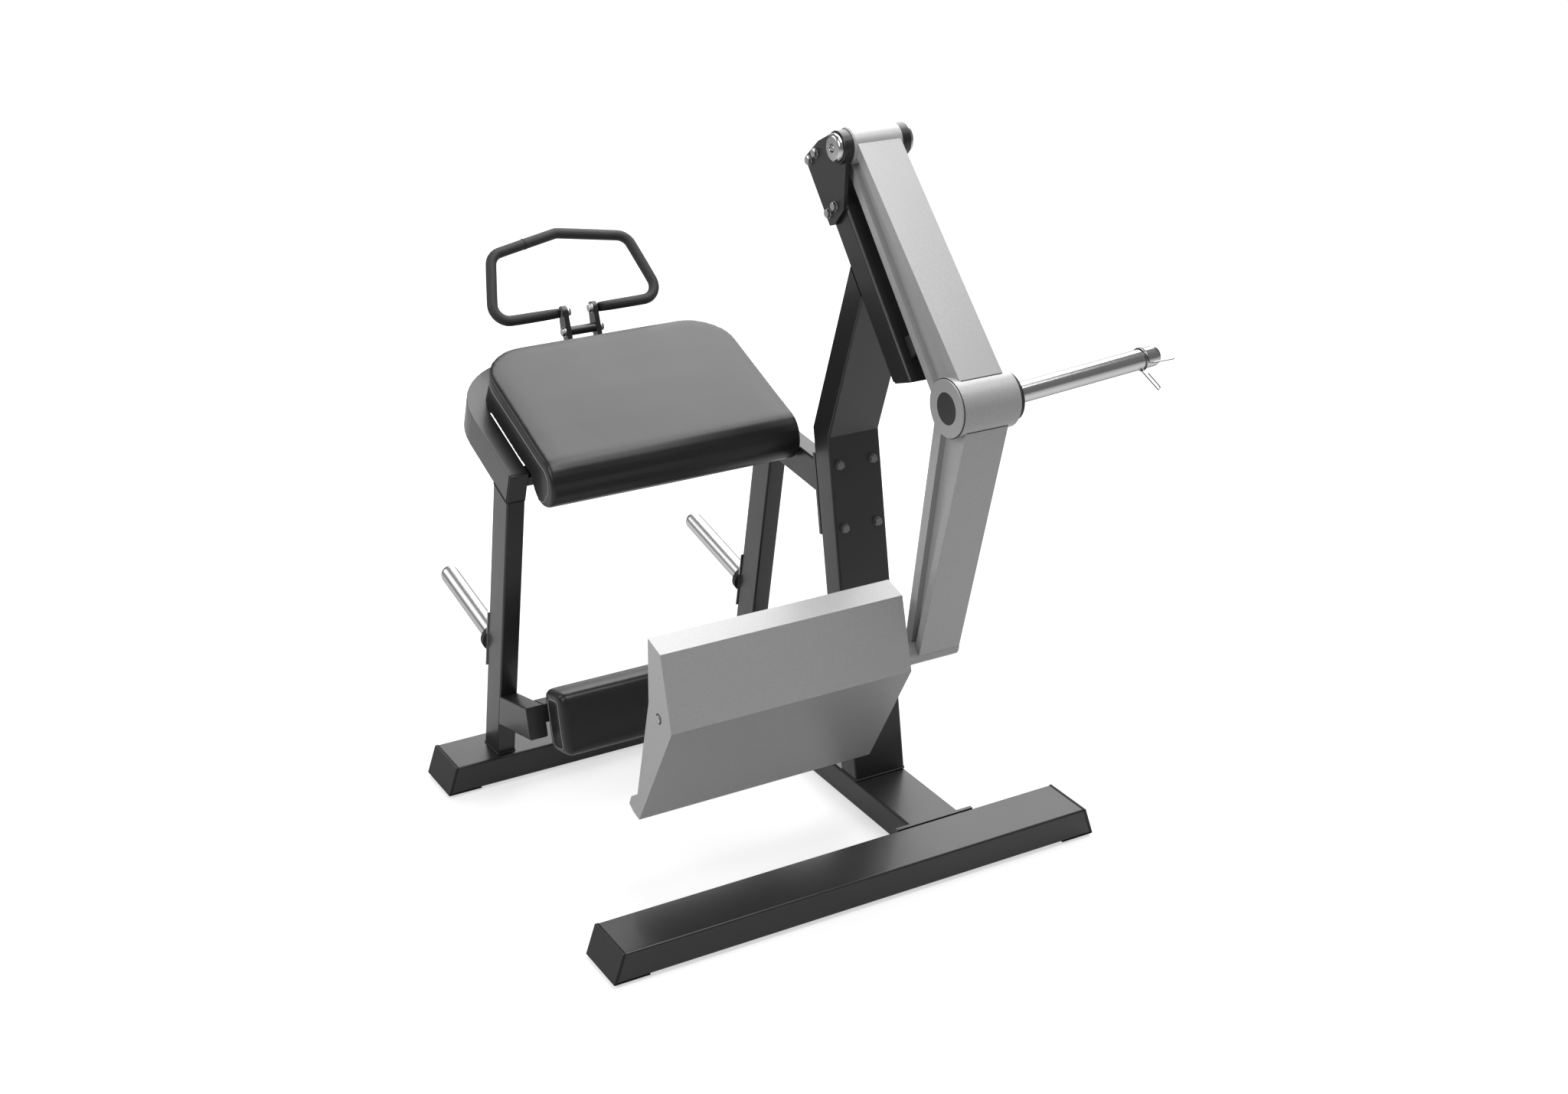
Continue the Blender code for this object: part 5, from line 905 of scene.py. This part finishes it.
def pinEnd():
    place = boxMiddle("pedal_tube")
    place[0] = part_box("pedal_tube")[0].x
    mesh = turnedMesh("pinEnd", pinRows, place, -across, 64)
    addPiece("pinEnd", mesh, finishes["zincPlate"], bodyOf["pedal_tube"])


pinEnd()
print("fittings made")


# Studio: pale floor, white background, soft light from above and behind, and the photograph's camera
studio = {
    "floorColour": 0.52, "floorChange": 0.005, "floorSize": 14.0, "paperScale": 40.0, "worldLight": 0.20,
    "nearGlow": 0.62, "farGlow": 0.92, "glowFrom": 0.9, "glowTo": 2.6, "mirroredGlow": 0.37,
}
softboxes = {
    "keySoftbox": {
        "place": (0.8, -1.5, 5.6), "target": (0.1, 0.0, 0.8), "size": (3.0, 3.0), "energy": 140.0},
    "topSoftbox": {
        "place": (1.4, 1.5, 4.1), "target": (0.2, 0.2, 0.8), "size": (3.2, 3.0), "energy": 140.0},
    "backSoftbox": {
        "place": (2.8, 4.0, 2.7), "target": (0.0, 0.0, 0.5), "size": (5.6, 2.4), "energy": 115.0},
    "leftSoftbox": {
        "place": (-2.6, 2.7, 2.5), "target": (-0.6, 0.2, 0.6), "size": (1.8, 1.8), "energy": 22.0},
    "sideSoftbox": {
        "place": (-4.2, -1.2, 3.9), "target": (0.0, -0.2, 1.1), "size": (2.4, 2.4), "energy": 95.0},
}
cameraLook = {
    "fromBeam": (-1.7778, -3.8626, 2.9460), "pitch": 66.4965, "heading": -29.925, "focal": 2883.92,
    "sensor": 36.0, "pictureWidth": 2048, "clipEnd": 100.0,
}


def mathNode(tree, operation, *sources):
    # A node of one operation; each source is a number or another node's output
    node = tree.nodes.new("ShaderNodeMath")
    node.operation = operation
    for socket, source in zip(node.inputs, sources):
        if isinstance(source, float):
            socket.default_value = source
        else:
            tree.links.new(source, socket)
    return node.outputs["Value"]


def makeFloor():
    # Lit paper that also glows for the camera and, weaker, for mirrors: more away from the middle
    half = studio["floorSize"]
    edge = np.linspace(-half, half, 33)
    x, y = np.meshgrid(edge, edge, indexing="ij")
    mesh = gridMesh("studioFloor", np.stack([x, y, np.zeros_like(x)], -1), wrapColumns=False)
    floor = bpy.data.objects.new("studioFloor", mesh)
    bpy.context.scene.collection.objects.link(floor)
    material = bpy.data.materials.new("floorPaper")
    material.use_nodes = True
    tree = material.node_tree
    shader = tree.nodes["Principled BSDF"]
    shader.inputs["Roughness"].default_value = 0.9
    shader.inputs["Specular IOR Level"].default_value = 0.0
    coordinates = tree.nodes.new("ShaderNodeTexCoord").outputs["Object"]
    tint = tree.nodes.new("ShaderNodeMix")
    tint.data_type = "RGBA"
    colour, change = studio["floorColour"], studio["floorChange"]
    tint.inputs["A"].default_value = (*(colour * (1 - change),) * 3, 1)
    tint.inputs["B"].default_value = (*(colour * (1 + change),) * 3, 1)
    tree.links.new(noiseOf(tree, coordinates, studio["paperScale"]), tint.inputs["Factor"])
    tree.links.new(tint.outputs["Result"], shader.inputs["Base Color"])
    ray = tree.nodes.new("ShaderNodeLightPath").outputs
    seen = mathNode(tree, "MULTIPLY_ADD", ray["Is Glossy Ray"], studio["mirroredGlow"], ray["Is Camera Ray"])
    distance = tree.nodes.new("ShaderNodeVectorMath")
    distance.operation = "LENGTH"
    tree.links.new(coordinates, distance.inputs[0])
    spread = tree.nodes.new("ShaderNodeMapRange")
    spread.interpolation_type = "SMOOTHSTEP"
    limits = (("From Min", "glowFrom"), ("From Max", "glowTo"), ("To Min", "nearGlow"), ("To Max", "farGlow"))
    for key, value in limits:
        spread.inputs[key].default_value = studio[value]
    tree.links.new(distance.outputs["Value"], spread.inputs["Value"])
    glow = mathNode(tree, "MULTIPLY", seen, spread.outputs["Result"])
    shader.inputs["Emission Color"].default_value = (1, 1, 1, 1)
    tree.links.new(glow, shader.inputs["Emission Strength"])
    mesh.materials.append(material)


def makeWorld():
    # White where the camera sees it, softer where it only lights
    world = bpy.data.worlds.new("studioWorld")
    bpy.context.scene.world = world
    world.use_nodes = True
    tree = world.node_tree
    tree.nodes.clear()
    ray = tree.nodes.new("ShaderNodeLightPath").outputs
    seen = mathNode(tree, "MAXIMUM", ray["Is Camera Ray"], ray["Is Transmission Ray"])
    mix = tree.nodes.new("ShaderNodeMixShader")
    tree.links.new(seen, mix.inputs["Fac"])
    for socket, strength in zip(mix.inputs[1:], (studio["worldLight"], 1.0)):
        background = tree.nodes.new("ShaderNodeBackground")
        background.inputs["Color"].default_value = (1, 1, 1, 1)
        background.inputs["Strength"].default_value = strength
        tree.links.new(background.outputs["Background"], socket)
    output = tree.nodes.new("ShaderNodeOutputWorld")
    tree.links.new(mix.outputs["Shader"], output.inputs["Surface"])


def makeSoftbox(name, look):
    light = bpy.data.lights.new(name, "AREA")
    light.shape = "RECTANGLE"
    light.size, light.size_y = look["size"]
    light.energy = look["energy"]
    lamp = bpy.data.objects.new(name, light)
    bpy.context.scene.collection.objects.link(lamp)
    lamp.location = look["place"]
    aim = Vector(look["target"]) - Vector(look["place"])
    lamp.rotation_euler = aim.to_track_quat("-Z", "Y").to_euler()
    lamp.visible_camera = False


def makeCamera():
    # Its place is kept from the front beam's left front corner
    look = cameraLook
    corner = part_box("front_beam")[0]
    camera = bpy.data.cameras.new("photoCamera")
    holder = bpy.data.objects.new("photoCamera", camera)
    bpy.context.scene.collection.objects.link(holder)
    step = look["fromBeam"]
    holder.location = (corner.x + step[0], corner.y + step[1], step[2])
    holder.rotation_euler = (math.radians(look["pitch"]), 0, math.radians(look["heading"]))
    camera.sensor_width = look["sensor"]
    camera.lens = look["focal"] * look["sensor"] / look["pictureWidth"]
    camera.clip_end = look["clipEnd"]
    bpy.context.scene.camera = holder


makeFloor()
makeWorld()
for name, look in softboxes.items():
    makeSoftbox(name, look)
makeCamera()
scene = bpy.context.scene
scene.view_settings.view_transform = "Standard"
print("studio ready")
